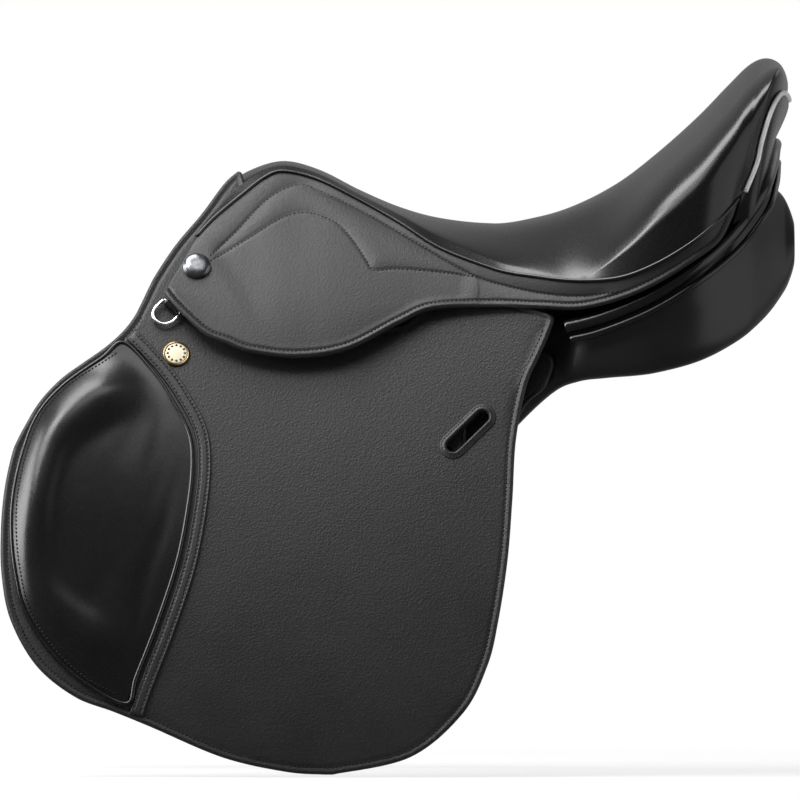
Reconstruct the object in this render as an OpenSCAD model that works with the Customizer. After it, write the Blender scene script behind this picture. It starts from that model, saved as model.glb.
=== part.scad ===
// Jumping saddle: tree, seat, panels, skirts, flaps, knee pads, girth straps, stirrup bars and fittings.
// +X runs from pommel to cantle, +Y to the off side and +Z up. The origin lies on the centre plane,
// on the line of the horse's back under the narrowest part of the seat.

/* [Seat] */
// Length of the seat from the front of the pommel to the back of the cantle
seat_l = 394; // [370:1:420]
// How far the pommel lies ahead of the origin
seat_ahead = 112; // [105:1:120]
// Height of the lowest point of the seat above the origin
seat_low = 60; // [56:1:66]
// Height of the pommel above the lowest point of the seat
pommel_rise = 45; // [40:1:50]
// Height of the cantle above the lowest point of the seat
cantle_rise = 120; // [110:1:130]
// Height of the seat's side at its unit station
seat_side_h = 80; // [74:1:84]
// Thickness of the seat's leather cover
cover_t = 2; // [1.5:0.1:3]
// Thickness of the seat's foam
foam_t = 12; // [10:0.5:14]

/* [Side form] */
// Half width across the pommel
pommel_half_w = 30; // [27:1:34]
// Half width between the flaps at their lower edge
flap_half_w = 212; // [195:1:230]
// Extra half width of the seat at its widest
rear_flare = 110; // [100:1:118]

/* [Flaps] */
// How far the flap reaches ahead of the origin
flap_reach = 286; // [270:1:300]
// How far the flap reaches behind the origin
flap_back = 110; // [104:1:116]
// How far the flap drops below the origin
flap_drop = 336; // [315:1:360]
// Thickness of the flap's leather
flap_t = 4; // [3:0.1:4.5]
// Thickness of the sweat flap's leather
sweat_t = 3; // [2:0.1:4]
// Length of the slot that keeps the stirrup leather's end
keeper_l = 40; // [34:1:46]
// Width of that slot
keeper_w = 9; // [8:0.5:11]
// Width of the stitched rim round the slot
keeper_rim_w = 4; // [3:0.5:5]

/* [Knee pads] */
// Height of the knee pad's roll above the flap
knee_h = 24; // [18:1:30]
// Width of the stitched band behind the knee pad
knee_band_w = 9; // [7:0.5:11]
// Thickness of that band
knee_band_t = 1.6; // [1.2:0.1:2.5]

/* [Skirts] */
// Thickness of the skirt's leather
skirt_t = 4; // [3:0.1:5]
// How far the skirt's free edge stands off
skirt_lift = 9; // [8:0.5:12]
// How far the skirt swells over the stirrup bar
skirt_swell = 5; // [4:0.5:8]

/* [Panels] */
// Half width of the channel between the panels
channel_half_w = 34; // [30:1:40]
// Thickness of the panel under the flap
panel_t = 26; // [22:1:30]
// Radius of the cord in the panel's welt
welt_r = 2.4; // [2:0.1:3]
// Radius of the rolled band round the cantle
band_r = 5; // [4:0.5:5.5]
// Radius of the piping on the cantle
piping_r = 1.8; // [1.4:0.1:2.2]

/* [Girth straps] */
// Width of a girth strap
strap_w = 25; // [22:1:27]
// Thickness of a girth strap
strap_t = 4; // [3:0.1:4.5]
// Length of a girth strap below its pivot
strap_l = 230; // [210:1:240]
// Distance between neighbouring straps
strap_pitch = 62; // [60:1:66]
// Diameter of the buckle holes
hole_d = 5; // [4:0.5:6]
// Distance between the buckle holes
hole_pitch = 25; // [22:1:27]
// Number of buckle holes in each strap
hole_count = 7; // [5:1:8]
// Diameter of the pin that each strap hangs from
strap_pin_d = 6; // [5:0.5:8]
// Distance of that pin below the strap's upper end
strap_pin_drop = 12; // [10:0.5:14]

/* [Stirrup bars] */
// Length of the bar that carries the stirrup leather
bar_l = 62; // [56:1:66]
// Width of the bar
bar_w = 10; // [8:0.5:11]
// Thickness of the bar
bar_t = 7; // [6:0.5:8]
// Thickness of the bar's back plate
bar_plate_t = 4; // [3:0.5:4.5]
// Clear gap for the stirrup leather behind the bar
bar_gap = 12; // [10:0.5:13]
// Diameter of the catch's pin
catch_pin_d = 4; // [3:0.5:4.5]

/* [Fittings] */
// Diameter of the nail and stud heads
nail_d = 20; // [17:0.5:22]
// Height of the nail and stud heads
nail_h = 3.5; // [3:0.1:5]
// Diameter of the nail shanks
nail_shank_d = 3; // [2.5:0.1:4]
// Diameter of the wire of the front rings
ring_wire_d = 3; // [2.5:0.1:3.5]
// Inside width of the front rings
ring_w = 14; // [12:0.5:16]
// Inside length of the front rings
ring_l = 15; // [13:0.5:18]

/* [Tree] */
// Thickness of the tree's rails, head and cantle
tree_t = 10; // [8:0.5:12]
// Thickness of the springs and of the gullet plate
steel_t = 2; // [1.5:0.1:2.5]
// Thickness of the tree's points
point_t = 5; // [4:0.5:6]
// Thickness of the webs
web_t = 1.5; // [1.2:0.1:2]

/* [Hidden] */
// Gap between neighbouring layers of leather
layer_gap = 0.8;
// Gap on each side of the swinging girth straps
strap_play = 1.6;
// Running clearance of the pins in their holes, on the radius
pin_play = 0.05;
// Clearance between hard pieces that move past each other
hard_gap = 0.5;
// Overrun of every cut
overrun = 1;
// Step of the slope measurement on the side form
probe = 0.5;

// Powers of the side form: how it rounds downwards and how fast the rear flare fades
side_round = 1.5;
flare_fade = 3;

// Sizes that follow from the ones above
pommel_z = seat_low + pommel_rise;
side_drop = pommel_z + flap_drop;
flap_w = flap_reach + flap_back;

// Layers, measured outwards from the flap's inner face
guard_t = 2.5;
guard_in = -layer_gap - guard_t;
strap_out = guard_in - strap_play;
strap_in = strap_out - strap_t;
girth_web_out = strap_in - strap_play;
girth_web_in = girth_web_out - web_t;
sweat_out = girth_web_in - 1.5 * layer_gap;
sweat_in = sweat_out - sweat_t;
point_out = sweat_in - layer_gap;
point_in = point_out - point_t;
skirt_in = flap_t + layer_gap;
seat_edge_out = skirt_in + skirt_t;

// Seat stations as shares: place of the centre line, its rise, place of the edge, drop to the edge, squareness
seat_shares = [
    [-0.103, -0.180, -0.088, 0.026, 0.0], [-0.076, 0.171, -0.056, 0.054, 0.0],
    [-0.037, 0.587, -0.006, 0.081, 0.0], [0.010, 0.858, 0.036, 0.075, 0.0], [0.071, 1.000, 0.071, 0.10, 0.0],
    [0.137, 0.856, 0.133, 0.09, 0.0], [0.210, 0.536, 0.207, 0.09, 0.0], [0.283, 0.264, 0.283, 0.15, 0.1],
    [0.356, 0.088, 0.356, 0.28, 0.2], [0.448, 0.000, 0.448, 0.41, 0.4], [0.539, 0.039, 0.541, 0.56, 0.6],
    [0.612, 0.117, 0.614, 0.71, 0.9], [0.686, 0.249, 0.686, 0.88, 1.1], [0.759, 0.435, 0.750, 1.04, 1.1],
    [0.832, 0.651, 0.813, 1.18, 1.0], [0.887, 0.837, 0.861, 1.27, 0.8], [0.927, 0.963, 0.888, 1.32, 0.6],
    [0.958, 1.000, 0.899, 1.31, 0.5], [0.985, 0.957, 0.904, 1.22, 0.4], [0.998, 0.849, 0.907, 1.05, 0.3],
    [0.996, 0.741, 0.910, 0.84, 0.3]];
seat_low_share = 0.448;
seat_steps = 2;
seat_cols = 10;

// Rear flare along the seat, as shares of the seat's length and of the flare
flare_shares = [
    [-0.50, 0], [-0.10, 0], [0.07, 0.02], [0.16, 0.075], [0.283, 0.185], [0.448, 0.455], [0.614, 0.85],
    [0.722, 1.03], [0.813, 1.0], [0.87, 0.84], [0.909, 0.57], [0.96, 0.25], [1.0, 0.05], [1.2, 0]];

// Outlines seen from the side, as shares of the flap's width and of its drop.
// A negative second share is one of the pommel's height.
flap_edge_shares = [
    [0.943, 0.217], [0.933, 0.289], [0.926, 0.418], [0.917, 0.546], [0.900, 0.675], [0.880, 0.771],
    [0.855, 0.836], [0.815, 0.900], [0.740, 0.964], [0.653, 0.994], [0.586, 1.000], [0.515, 0.994],
    [0.402, 0.964], [0.273, 0.900], [0.206, 0.868], [0.135, 0.836], [0.066, 0.771], [0.019, 0.675],
    [0.002, 0.579], [0.000, 0.482], [0.006, 0.396], [0.019, 0.321], [0.044, 0.257], [0.080, 0.193],
    [0.144, 0.129], [0.184, 0.096], [0.224, 0.056]];
flap_centre_share = [0.47, 0.52];
head_top_shares = [
    [0.230, 0.042], [0.251, -0.000], [0.279, -0.150], [0.315, -0.325], [0.360, -0.515], [0.400, -0.690],
    [0.425, -0.760], [0.436, -0.740], [0.443, -0.617], [0.453, -0.034], [0.463, 0.048], [0.554, 0.048],
    [0.638, 0.048], [0.722, 0.048],
    [0.734, -0.034], [0.744, -0.206], [0.765, -0.255], [0.831, -0.155], [0.913, -0.024], [0.943, -0.005],
    [0.977, 0.012], [1.003, 0.024]];
head_low_shares = [
    [0.224, 0.056], [0.943, 0.217], [0.953, 0.174], [0.977, 0.111], [0.994, 0.066], [1.006, 0.032]];
knee_shares = [
    [0.220, 0.088], [0.180, 0.122], [0.111, 0.180], [0.064, 0.244], [0.037, 0.328], [0.022, 0.416],
    [0.020, 0.497], [0.028, 0.579], [0.046, 0.660], [0.088, 0.737], [0.148, 0.804], [0.228, 0.853],
    [0.246, 0.797], [0.282, 0.688], [0.320, 0.551], [0.340, 0.426], [0.346, 0.339], [0.339, 0.279],
    [0.309, 0.212], [0.273, 0.150]];
knee_centre_share = [0.175, 0.49];
knee_band_shares = [
    [0.230, 0.084], [0.281, 0.148], [0.317, 0.206], [0.348, 0.274], [0.356, 0.339], [0.350, 0.430],
    [0.330, 0.556], [0.292, 0.692], [0.256, 0.800], [0.240, 0.852]];
sweat_shares = [
    [0.979, 0.090], [0.983, 0.158], [0.949, 0.198], [0.913, 0.285], [0.889, 0.461], [0.864, 0.654],
    [0.813, 0.804], [0.722, 0.911], [0.595, 0.958], [0.449, 0.932], [0.304, 0.872], [0.168, 0.804],
    [0.082, 0.718], [0.039, 0.611], [0.024, 0.482], [0.039, 0.354], [0.089, 0.236], [0.168, 0.144],
    [0.249, 0.085], [0.359, 0.075], [0.504, 0.075], [0.686, 0.075], [0.813, 0.078]];
sweat_centre_share = [0.50, 0.47];
guard_shares = [
    [0.450, 0.365], [0.620, 0.357], [0.850, 0.365], [0.872, 0.460], [0.850, 0.600], [0.760, 0.680],
    [0.650, 0.695], [0.540, 0.680], [0.450, 0.600], [0.430, 0.460]];
guard_centre_share = [0.65, 0.52];
point_shares = [
    [0.455, -0.700], [0.490, -0.740], [0.570, -0.560], [0.690, -0.300], [0.760, -0.150], [0.740, -0.020],
    [0.640, 0.030], [0.540, 0.050], [0.490, 0.120], [0.450, 0.175], [0.400, 0.170], [0.375, 0.110],
    [0.395, -0.100], [0.430, -0.420]];
point_centre_share = [0.49, -0.22];
// Skirt lines seen from the side, as shares of the seat's length and of the heights above.
// Foot of the skirt under each of the seat's stations
skirt_fold_shares = [
    [-0.150, -0.117], [-0.118, -0.110], [-0.060, -0.097], [-0.005, -0.087], [0.045, -0.080], [0.120, -0.070],
    [0.200, -0.058], [0.283, -0.046], [0.356, -0.036], [0.448, -0.018], [0.541, 0.007], [0.614, 0.009],
    [0.690, -0.040], [0.757, -0.150], [0.822, -0.300], [0.868, -0.430], [0.892, -0.590], [0.902, -0.690]];
lobe_edge_shares = [
    [-0.144, -0.055], [-0.125, 0.021], [-0.073, 0.081], [0.015, 0.122], [0.099, 0.132], [0.190, 0.115],
    [0.283, 0.059], [0.345, 0.022], [0.400, 0.007], [0.446, 0.004]];
lobe_fold_shares = [
    [-0.146, -0.104], [-0.110, -0.098], [-0.055, -0.086], [0.020, -0.072], [0.099, -0.062], [0.190, -0.050],
    [0.283, -0.036], [0.345, -0.027], [0.400, -0.019], [0.446, -0.012]];
skirt_lift_shares = [
    [-0.20, 0.9], [-0.05, 1], [0.20, 1], [0.33, 0.75], [0.45, 0.30], [0.56, 0.05], [0.65, 0], [1.2, 0]];
skirt_swell_shares = [
    [-0.20, 0], [-0.10, 0.05], [0.00, 0.55], [0.08, 1], [0.22, 1], [0.32, 0.5], [0.42, 0.1], [0.5, 0], [1.2, 0]];
skirt_fold_v_share = 0.6;

// Panel stations: place as a share of the seat's length, top and bottom lines as height shares,
// share of the channel form, height of the channel's edge, height of the channel's wall as a share of
// the panel's thickness, and the depth of the outer face as a share of the depth under the flap
panel_shares = [
    [-0.335, 0.430, 0.520, 0.0, -0.30, 0.5, 1.30], [-0.300, 0.270, 0.680, 0.0, -0.30, 0.5, 1.25],
    [-0.200, 0.120, 0.780, 0.0, -0.30, 0.6, 1.30], [-0.110, 0.040, 0.800, 0.0, -0.30, 0.7, 1.50],
    [-0.030, -0.010, 0.800, 0.1, -0.30, 0.8, 1.55], [0.060, -0.020, 0.770, 0.5, -0.28, 0.9, 1.55],
    [0.160, -0.020, 0.700, 1.0, -0.26, 1.0, 1.55], [0.283, -0.020, 0.560, 1.0, -0.25, 1.0, 1.50],
    [0.400, -0.010, 0.400, 1.0, -0.24, 1.0, 1.45], [0.480, 0.020, 0.280, 1.0, -0.22, 1.1, 1.25],
    [0.560, 0.025, 0.190, 1.0, -0.18, 1.2, 1.15], [0.610, 0.020, 0.163, 1.0, -0.14, 1.3, 0.75],
    [0.670, -0.010, 0.154, 1.0, -0.08, 1.4, 0.62], [0.750, -0.120, 0.144, 1.0, 0.00, 1.5, 0.60],
    [0.850, -0.370, 0.111, 1.0, 0.13, 1.7, 0.60], [0.930, -0.700, 0.056, 1.0, 0.26, 2.0, 0.60],
    [0.962, -0.800, 0.013, 1.0, 0.34, 1.8, 0.60], [0.985, -0.760, -0.076, 1.0, 0.42, 1.3, 0.60],
    [1.000, -0.655, -0.160, 1.0, 0.46, 0.8, 0.62], [1.009, -0.530, -0.320, 1.0, 0.46, 0.3, 0.70]];
// Rows ahead of this one are hidden by the flap, and every second one is left out
panel_rear_index = 21;
panel_swell_share = 0.22;
panel_bulge_share = 0.35;

// Routes of the cantle's band and of the panel's welt: along the side as places and heights on the side
// view, then round the back as places, heights and shares of the half width where the side ends
band_side_shares = [[0.586, -0.151], [0.650, -0.089], [0.741, 0.055], [0.832, 0.280], [0.896, 0.500]];
band_back_shares = [[0.945, 0.770, 0.89], [0.964, 0.960, 0.61], [0.971, 1.085, 0.30], [0.974, 1.112, 0]];
welt_side_shares = [[0.595, -0.236], [0.650, -0.185], [0.741, -0.045], [0.832, 0.165], [0.903, 0.385]];
welt_back_shares = [[0.955, 0.640, 0.91], [0.973, 0.830, 0.63], [0.978, 0.965, 0.30], [0.980, 0.990, 0]];
// Lower edge of the cantle's back: place and height at the centre, then at the sides
cantle_foot_shares = [[0.972, 1.193], [0.906, 0.745]];

// Fixed points on the side: the nail as shares in the seat's frame, the others in the flap's frame
nail_share = [-0.0869, -0.200];
stud_share = [0.316, 0.111];
ring_share = [0.309, 0.014];
ring_turn = -43;
keeper_share = [0.846, 0.275];
keeper_turn = 46;
bar_share = [0.566, -0.010];
strap_first_share = 0.495;
strap_top_share = 0.170;

// Fold lines of the flap and of the skirt, as shares in the frames above
flap_fold_shares = [[0.224, 0.056], [0.943, 0.217]];
fold_steps = 9;

// Smooth curves through points of any dimension
function blend4(a, b, c, d, t) =
    0.5 * (2 * b + (c - a) * t + (2 * a - 5 * b + 4 * c - d) * t * t + (3 * b - a - 3 * c + d) * t * t * t);
function open_curve(p, n) = let (last = len(p) - 1) concat(
    [for (i = [0:last - 1], k = [0:n - 1])
        blend4(p[max(i - 1, 0)], p[i], p[i + 1], p[min(i + 2, last)], k / n)],
    [p[last]]);
function closed_curve(p, n) = let (m = len(p))
    [for (i = [0:m - 1], k = [0:n - 1])
        blend4(p[(i + m - 1) % m], p[i], p[(i + 1) % m], p[(i + 2) % m], k / n)];
function split_line(p, n) = concat(
    [for (i = [0:len(p) - 2], k = [0:n - 1]) mix(p[i], p[i + 1], k / n)],
    [p[len(p) - 1]]);
function straight(a, b, n) = [for (k = [0:n]) a + (b - a) * k / n];
function mix(a, b, t) = a + (b - a) * t;
function unit(v) = v / norm(v);
function total(v, i = 0) = i == len(v) - 1 ? v[i] : v[i] + total(v, i + 1);

// Places on the side view
function seat_x(s) = seat_l * s - seat_ahead;
function seat_s(x) = (x + seat_ahead) / seat_l;
function flap_x(s) = flap_w * s - flap_reach;
function drop_z(s) = s > 0 ? -flap_drop * s : -pommel_z * s;
function on_flap(p) = [flap_x(p[0]), drop_z(p[1])];
function on_seat(p) = [seat_x(p[0]), drop_z(p[1])];

// The side form: half width of the flap's inner face at a place on the side view
flare_table = open_curve(flare_shares, 6);
function depth_share(z) = min((pommel_z - z) / side_drop, 1);
function half_w(x, z) = let (t = depth_share(z))
    pommel_half_w + (flap_half_w - pommel_half_w) * (1 - pow(1 - t, side_round))
    + rear_flare * lookup(seat_s(x), flare_table) * pow(1 - t, flare_fade);
function side_normal(x, z) = let (
    hx = (half_w(x + probe, z) - half_w(x - probe, z)) / (2 * probe),
    hz = (half_w(x, z + probe) - half_w(x, z - probe)) / (2 * probe))
    unit([-hx, -1, -hz]);
function side_point(p, out) = [p[0], -half_w(p[0], p[1]), p[1]] + out * side_normal(p[0], p[1]);

// Closed solids from grids of points. Faces are turned if their order gives the wrong sign.
function signed_volume(p, f) = total([for (t = f) p[t[0]] * cross(p[t[1]], p[t[2]])]) / 6;
function turned(f) = [for (t = f) [t[0], t[2], t[1]]];
function quad(a, b, c, d) = [[a, b, c], [a, c, d]];

module closed_solid(p, f) {
    polyhedron(p, signed_volume(p, f) < 0 ? f : turned(f), convexity = 6);
}

// Sheet between two grids of the same size, rows by columns
module sheet(outer, inner) {
    rows = len(outer);
    cols = len(outer[0]);
    half = rows * cols;
    p = concat([for (r = outer) each r], [for (r = inner) each r]);
    closed_solid(p, concat(
        [for (i = [0:rows - 2], j = [0:cols - 2]) let (a = i * cols + j)
            each quad(a, a + 1, a + cols + 1, a + cols)],
        [for (i = [0:rows - 2], j = [0:cols - 2]) let (a = half + i * cols + j)
            each quad(a, a + cols, a + cols + 1, a + 1)],
        [for (i = [0:rows - 2]) let (a = i * cols) each quad(a, a + cols, a + cols + half, a + half)],
        [for (i = [0:rows - 2]) let (a = i * cols + cols - 1)
            each quad(a, a + half, a + cols + half, a + cols)],
        [for (j = [0:cols - 2]) each quad(j, j + half, j + half + 1, j + 1)],
        [for (j = [0:cols - 2]) let (a = half - cols + j) each quad(a, a + 1, a + 1 + half, a + half)]));
}

// The other face of a sheet, a thickness along the normals from one grid
function grid_normal(g, i, j) = let (rows = len(g) - 1, cols = len(g[0]) - 1)
    unit(cross(g[min(i + 1, rows)][j] - g[max(i - 1, 0)][j], g[i][min(j + 1, cols)] - g[i][max(j - 1, 0)]));
function under(g, t) =
    [for (i = [0:len(g) - 1]) [for (j = [0:len(g[0]) - 1]) g[i][j] - t * grid_normal(g, i, j)]];

// Disc between two stacks of closed rings, each stack from its middle point outwards
module disc(front, back, front_mid, back_mid) {
    rings = len(front);
    n = len(front[0]);
    half = rings * n;
    p = concat([for (r = front) each r], [for (r = back) each r], [front_mid, back_mid]);
    closed_solid(p, concat(
        [for (j = [0:n - 1]) [2 * half, j, (j + 1) % n]],
        [for (j = [0:n - 1]) [2 * half + 1, half + (j + 1) % n, half + j]],
        [for (i = [0:rings - 2], j = [0:n - 1]) let (a = i * n + j, b = i * n + (j + 1) % n)
            each quad(a, a + n, b + n, b)],
        [for (i = [0:rings - 2], j = [0:n - 1]) let (a = half + i * n + j, b = half + i * n + (j + 1) % n)
            each quad(a, b, b + n, a + n)],
        [for (j = [0:n - 1]) let (a = half - n + j, b = half - n + (j + 1) % n)
            each quad(a, a + half, b + half, b)]));
}

// Loft of closed loops with flat ends
module loft(loops) {
    rows = len(loops);
    n = len(loops[0]);
    p = concat([for (r = loops) each r], [total(loops[0]) / n], [total(loops[rows - 1]) / n]);
    closed_solid(p, concat(
        [for (i = [0:rows - 2], j = [0:n - 1]) let (a = i * n + j, b = i * n + (j + 1) % n)
            each quad(a, b, b + n, a + n)],
        [for (j = [0:n - 1]) [rows * n, (j + 1) % n, j]],
        [for (j = [0:n - 1]) let (a = (rows - 1) * n) [rows * n + 1, a + j, a + (j + 1) % n]]));
}

// Round tube of n sides along points
module tube(path, r, n) {
    last = len(path) - 1;
    loft([for (i = [0:last]) let (
        t = unit(path[min(i + 1, last)] - path[max(i - 1, 0)]),
        side = unit(cross(t, [0, 0, 1])),
        up = cross(side, t))
        [for (k = [0:n - 1]) path[i] + r * (cos(360 * k / n) * side + sin(360 * k / n) * up)]]);
}

// Disc that lies on the side form: a closed outline, its middle and the two faces as functions of
// the share from middle to edge
module side_disc(outline, mid, rings, front, back) {
    function face(out) =
        [for (i = [1:rings]) [for (p = outline) side_point(mix(mid, p, i / rings), out(i / rings, p))]];
    disc(face(front), face(back), side_point(mid, front(0, mid)), side_point(mid, back(0, mid)));
}

// Sheet that lies on the side form between two lines of the same number of points
module side_strip(top, bottom, cols, front, back) {
    function face(out) =
        [for (i = [0:len(top) - 1]) [for (j = [0:cols]) let (p = mix(top[i], bottom[i], j / cols))
            side_point(p, out(p, j / cols))]];
    sheet(face(front), face(back));
}

// Children set on the side form: their X runs backwards, their Y up the side and their Z outwards
module on_side(p, out, turn = 0) {
    n = side_normal(p[0], p[1]);
    back = unit([1, n[0] / -n[1], 0]);
    up = cross(n, back);
    at = side_point(p, out);
    multmatrix([
        [back[0], up[0], n[0], at[0]], [back[1], up[1], n[1], at[1]],
        [back[2], up[2], n[2], at[2]], [0, 0, 0, 1]])
        rotate([0, 0, turn]) children();
}

module on_right() {
    mirror([0, 1, 0]) children();
}

// Seat sections
seat_rows = open_curve(seat_shares, seat_steps);
function centre_of(r) =
    [seat_x(r[0]), seat_low + r[1] * (r[0] < seat_low_share ? pommel_rise : cantle_rise)];
function edge_of(r) = [seat_x(r[2]), centre_of(r)[1] - seat_side_h * r[3]];
seat_centres = [for (r = seat_rows) centre_of(r)];
seat_edges = [for (r = seat_rows) side_point(edge_of(r), seat_edge_out)];
function centre_normal(i) = let (
    last = len(seat_centres) - 1, d = seat_centres[min(i + 1, last)] - seat_centres[max(i - 1, 0)])
    unit([-d[1], d[0]]);
// A point of the section at station i, u from -1 at the left edge to 1 at the right edge
function seat_point(i, u, deep, inset) = let (
    n = 2 / (2 + seat_rows[i][4]), c = seat_centres[i] - deep * centre_normal(i), e = seat_edges[i],
    across = pow(sin(90 * abs(u)), n), high = pow(cos(90 * abs(u)), n))
    [e[0] + (c[0] - e[0]) * high, sign(u) * (-e[1] - inset) * across, e[2] + (c[1] - e[2]) * high];
function seat_grid(from, to, u0, u1, cols, deep, inset) =
    [for (i = [from:to]) [for (j = [0:cols]) seat_point(i, mix(u0, u1, j / cols), deep, inset)]];
seat_last = len(seat_rows) - 1;

// Depths of the layers under the seat's surface
foam_top = cover_t + layer_gap / 2;
foam_bottom = foam_top + foam_t;
long_web_top = foam_bottom + layer_gap;
cross_web_top = long_web_top + web_t + layer_gap / 2;
tree_top = cross_web_top + web_t + layer_gap;

// Station numbers on the seat where the inner layers begin and end
foam_from_index = 10;
foam_feather_steps = 3;
turn_from_index = 31;
turn_steps = 6;
rail_from_index = 13;
rail_to_index = 30;
web_from_index = 10;
web_to_index = 29;
cross_from_index = 16;
cross_to_index = 20;
tree_to_index = 32;

module seat_cover() {
    top = seat_grid(0, seat_last, -1, 1, seat_cols, 0, 0);
    low = seat_grid(0, seat_last, -1, 1, seat_cols, cover_t, cover_t);
    turned_low = under(top, cover_t);
    function turn(i) = max(0, min(1, (i - turn_from_index) / turn_steps));
    color("#1e1e1e") sheet(top, [for (i = [0:seat_last]) mix(low[i], turned_low[i], turn(i))]);
}

module seat_foam() {
    u = 0.8;
    to = seat_last - 8;
    function low(i) = foam_top + foam_t * min(1, (i - foam_from_index + 1) / foam_feather_steps);
    color("#d8cfa0") sheet(
        seat_grid(foam_from_index, to, -u, u, 8, foam_top, foam_top),
        [for (i = [foam_from_index:to]) seat_grid(i, i, -u, u, 8, low(i), low(i))[0]]);
}

module seat_web_long() {
    u = 0.4;
    color("#b9a06a") sheet(
        seat_grid(web_from_index, web_to_index, -u, u, 4, long_web_top, long_web_top),
        seat_grid(web_from_index, web_to_index, -u, u, 4, long_web_top + web_t, long_web_top + web_t));
}

module seat_web_cross() {
    u = 0.8;
    color("#b9a06a") sheet(
        seat_grid(cross_from_index, cross_to_index, -u, u, 8, cross_web_top, cross_web_top),
        seat_grid(cross_from_index, cross_to_index, -u, u, 8, cross_web_top + web_t, cross_web_top + web_t));
}

// A grid moved straight down
function dropped(grid, d) = [for (r = grid) [for (p = r) p - [0, 0, d]]];

module tree_rail() {
    top = seat_grid(rail_from_index, rail_to_index, -0.8, -0.4, 2, tree_top, tree_top);
    color("#b98a55") sheet(top, dropped(top, tree_t));
}

module tree_cantle() {
    top = seat_grid(rail_to_index, tree_to_index, -0.8, 0.8, 8, tree_top, tree_top);
    color("#b98a55") sheet(top, dropped(top, tree_t));
}

module spring() {
    rail = seat_grid(rail_from_index + 1, rail_to_index - 2, -0.8, -0.6, 1, tree_top, tree_top);
    top = dropped(rail, tree_t + layer_gap / 2);
    color("#8a8f96") sheet(top, dropped(top, steel_t));
}

// Arches of the head: a leg up each side of the form, then over the top
head_in = point_in - layer_gap;
head_leg_shares = [0.26, 0.37, 0.48, 0.57];
head_x_shares = [0.4593, 0.4991, 0.5488, 0.6085];
head_top_share = 0.66;
function arch(x, out, top, legs) = let (
    left = [for (s = legs) side_point([x, pommel_z * s], out)])
    concat(left, [[x, 0, top]], [for (i = [len(left) - 1:-1:0]) [left[i][0], -left[i][1], left[i][2]]]);
function arches(out, lift) =
    [for (s = head_x_shares) arch(flap_x(s), out, pommel_z * head_top_share + lift, head_leg_shares)];

module tree_head() {
    color("#b98a55") sheet(arches(head_in, 0), arches(head_in - tree_t, -tree_t));
}

module gullet_plate() {
    deep = tree_t + layer_gap / 2;
    color("#8a8f96") sheet(arches(head_in - deep, -deep), arches(head_in - deep - steel_t, -deep - steel_t));
}

// Leather lining of the pommel's arch: a face between the skirts, then back under the head
lining_t = 2.5;
lining_back = 26;
lining_front_shares = [[0.2822, -0.09], [0.3051, 0.05], [0.3299, 0.22], [0.3469, 0.34], [0.3578, 0.42]];
lining_top_share = 0.455;
lining_in = point_in + layer_gap;
function lining_arch(back, out, top) = let (
    left = [for (s = lining_front_shares) side_point([flap_x(s[0]) + back, pommel_z * s[1]], out)],
    tip = flap_x(lining_front_shares[4][0]) + back)
    concat(left, [[tip, 0, top]], [for (i = [len(left) - 1:-1:0]) [left[i][0], -left[i][1], left[i][2]]]);

module head_lining() {
    top = pommel_z * lining_top_share;
    step = lining_t;
    color("#242424") sheet(
        [lining_arch(0, -layer_gap, top), lining_arch(0, lining_in, top - step - web_t),
         lining_arch(lining_back, lining_in, top - step - web_t)],
        [lining_arch(step, -layer_gap, top), lining_arch(step, lining_in + step, top - web_t),
         lining_arch(lining_back, lining_in + step, top - web_t)]);
}

// Back of the cantle, from the piping down to the band
back_t = 2.4;
cantle_focus_share = 0.62;
function cantle_foot(u) = let (
    c = on_seat([cantle_foot_shares[0][0], -cantle_foot_shares[0][1]]),
    e = on_seat([cantle_foot_shares[1][0], -cantle_foot_shares[1][1]]),
    top = seat_point(seat_last, u, 0, 0),
    high = (top[0] - seat_edges[seat_last][0]) / (seat_centres[seat_last][0] - seat_edges[seat_last][0]))
    [mix(e[0], c[0], high), top[1] * 0.99, mix(e[1], c[1], high)];
function cantle_face(j, in, skip = 0) =
    [for (k = [skip:2 * seat_cols - skip]) let (u = k / seat_cols - 1, end = pow(abs(u), 6),
        p = mix(seat_point(seat_last, u, 0, 0), cantle_foot(u), mix(j, sqrt(j), end)),
        away = unit([p[0] - seat_x(cantle_focus_share), p[1], 0]))
        p - (in - (j > 0 ? 0 : end * layer_gap)) * away];

module cantle_back() {
    downs = [0.22, 0.45, 0.7, 1];
    face = [for (j = downs) cantle_face(j, layer_gap / 2, 1)];
    color("#1e1e1e") sheet(face, under(face, back_t));
}

module cantle_piping() {
    color("#c9c9c9") tube(cantle_face(0, -piping_r - layer_gap / 2, 1), piping_r, 6);
}

// Rolls that run along one side of the panel and round the back
function side_route(side, back, out) = let (
    a = [for (s = side) side_point([seat_x(s[0]), pommel_z * s[1]], out)],
    w = a[len(a) - 1][1])
    concat(a, [for (s = back) [seat_x(s[0]), w * s[2], pommel_z * s[1]]]);
function flipped(p) = [for (i = [len(p) - 1:-1:0]) [p[i][0], -p[i][1], p[i][2]]];

module cantle_band() {
    left = side_route(band_side_shares, band_back_shares, skirt_in - layer_gap - band_r);
    all = concat(left, flipped([for (i = [0:len(left) - 2]) left[i]]));
    color("#1e1e1e") tube(open_curve(all, 2), band_r, 6);
}

module panel_welt() {
    left = side_route(welt_side_shares, welt_back_shares, layer_gap / 4);
    color("#1a1a1a") tube(open_curve([for (i = [0:len(left) - 2]) left[i]], 2), welt_r, 6);
}

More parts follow.
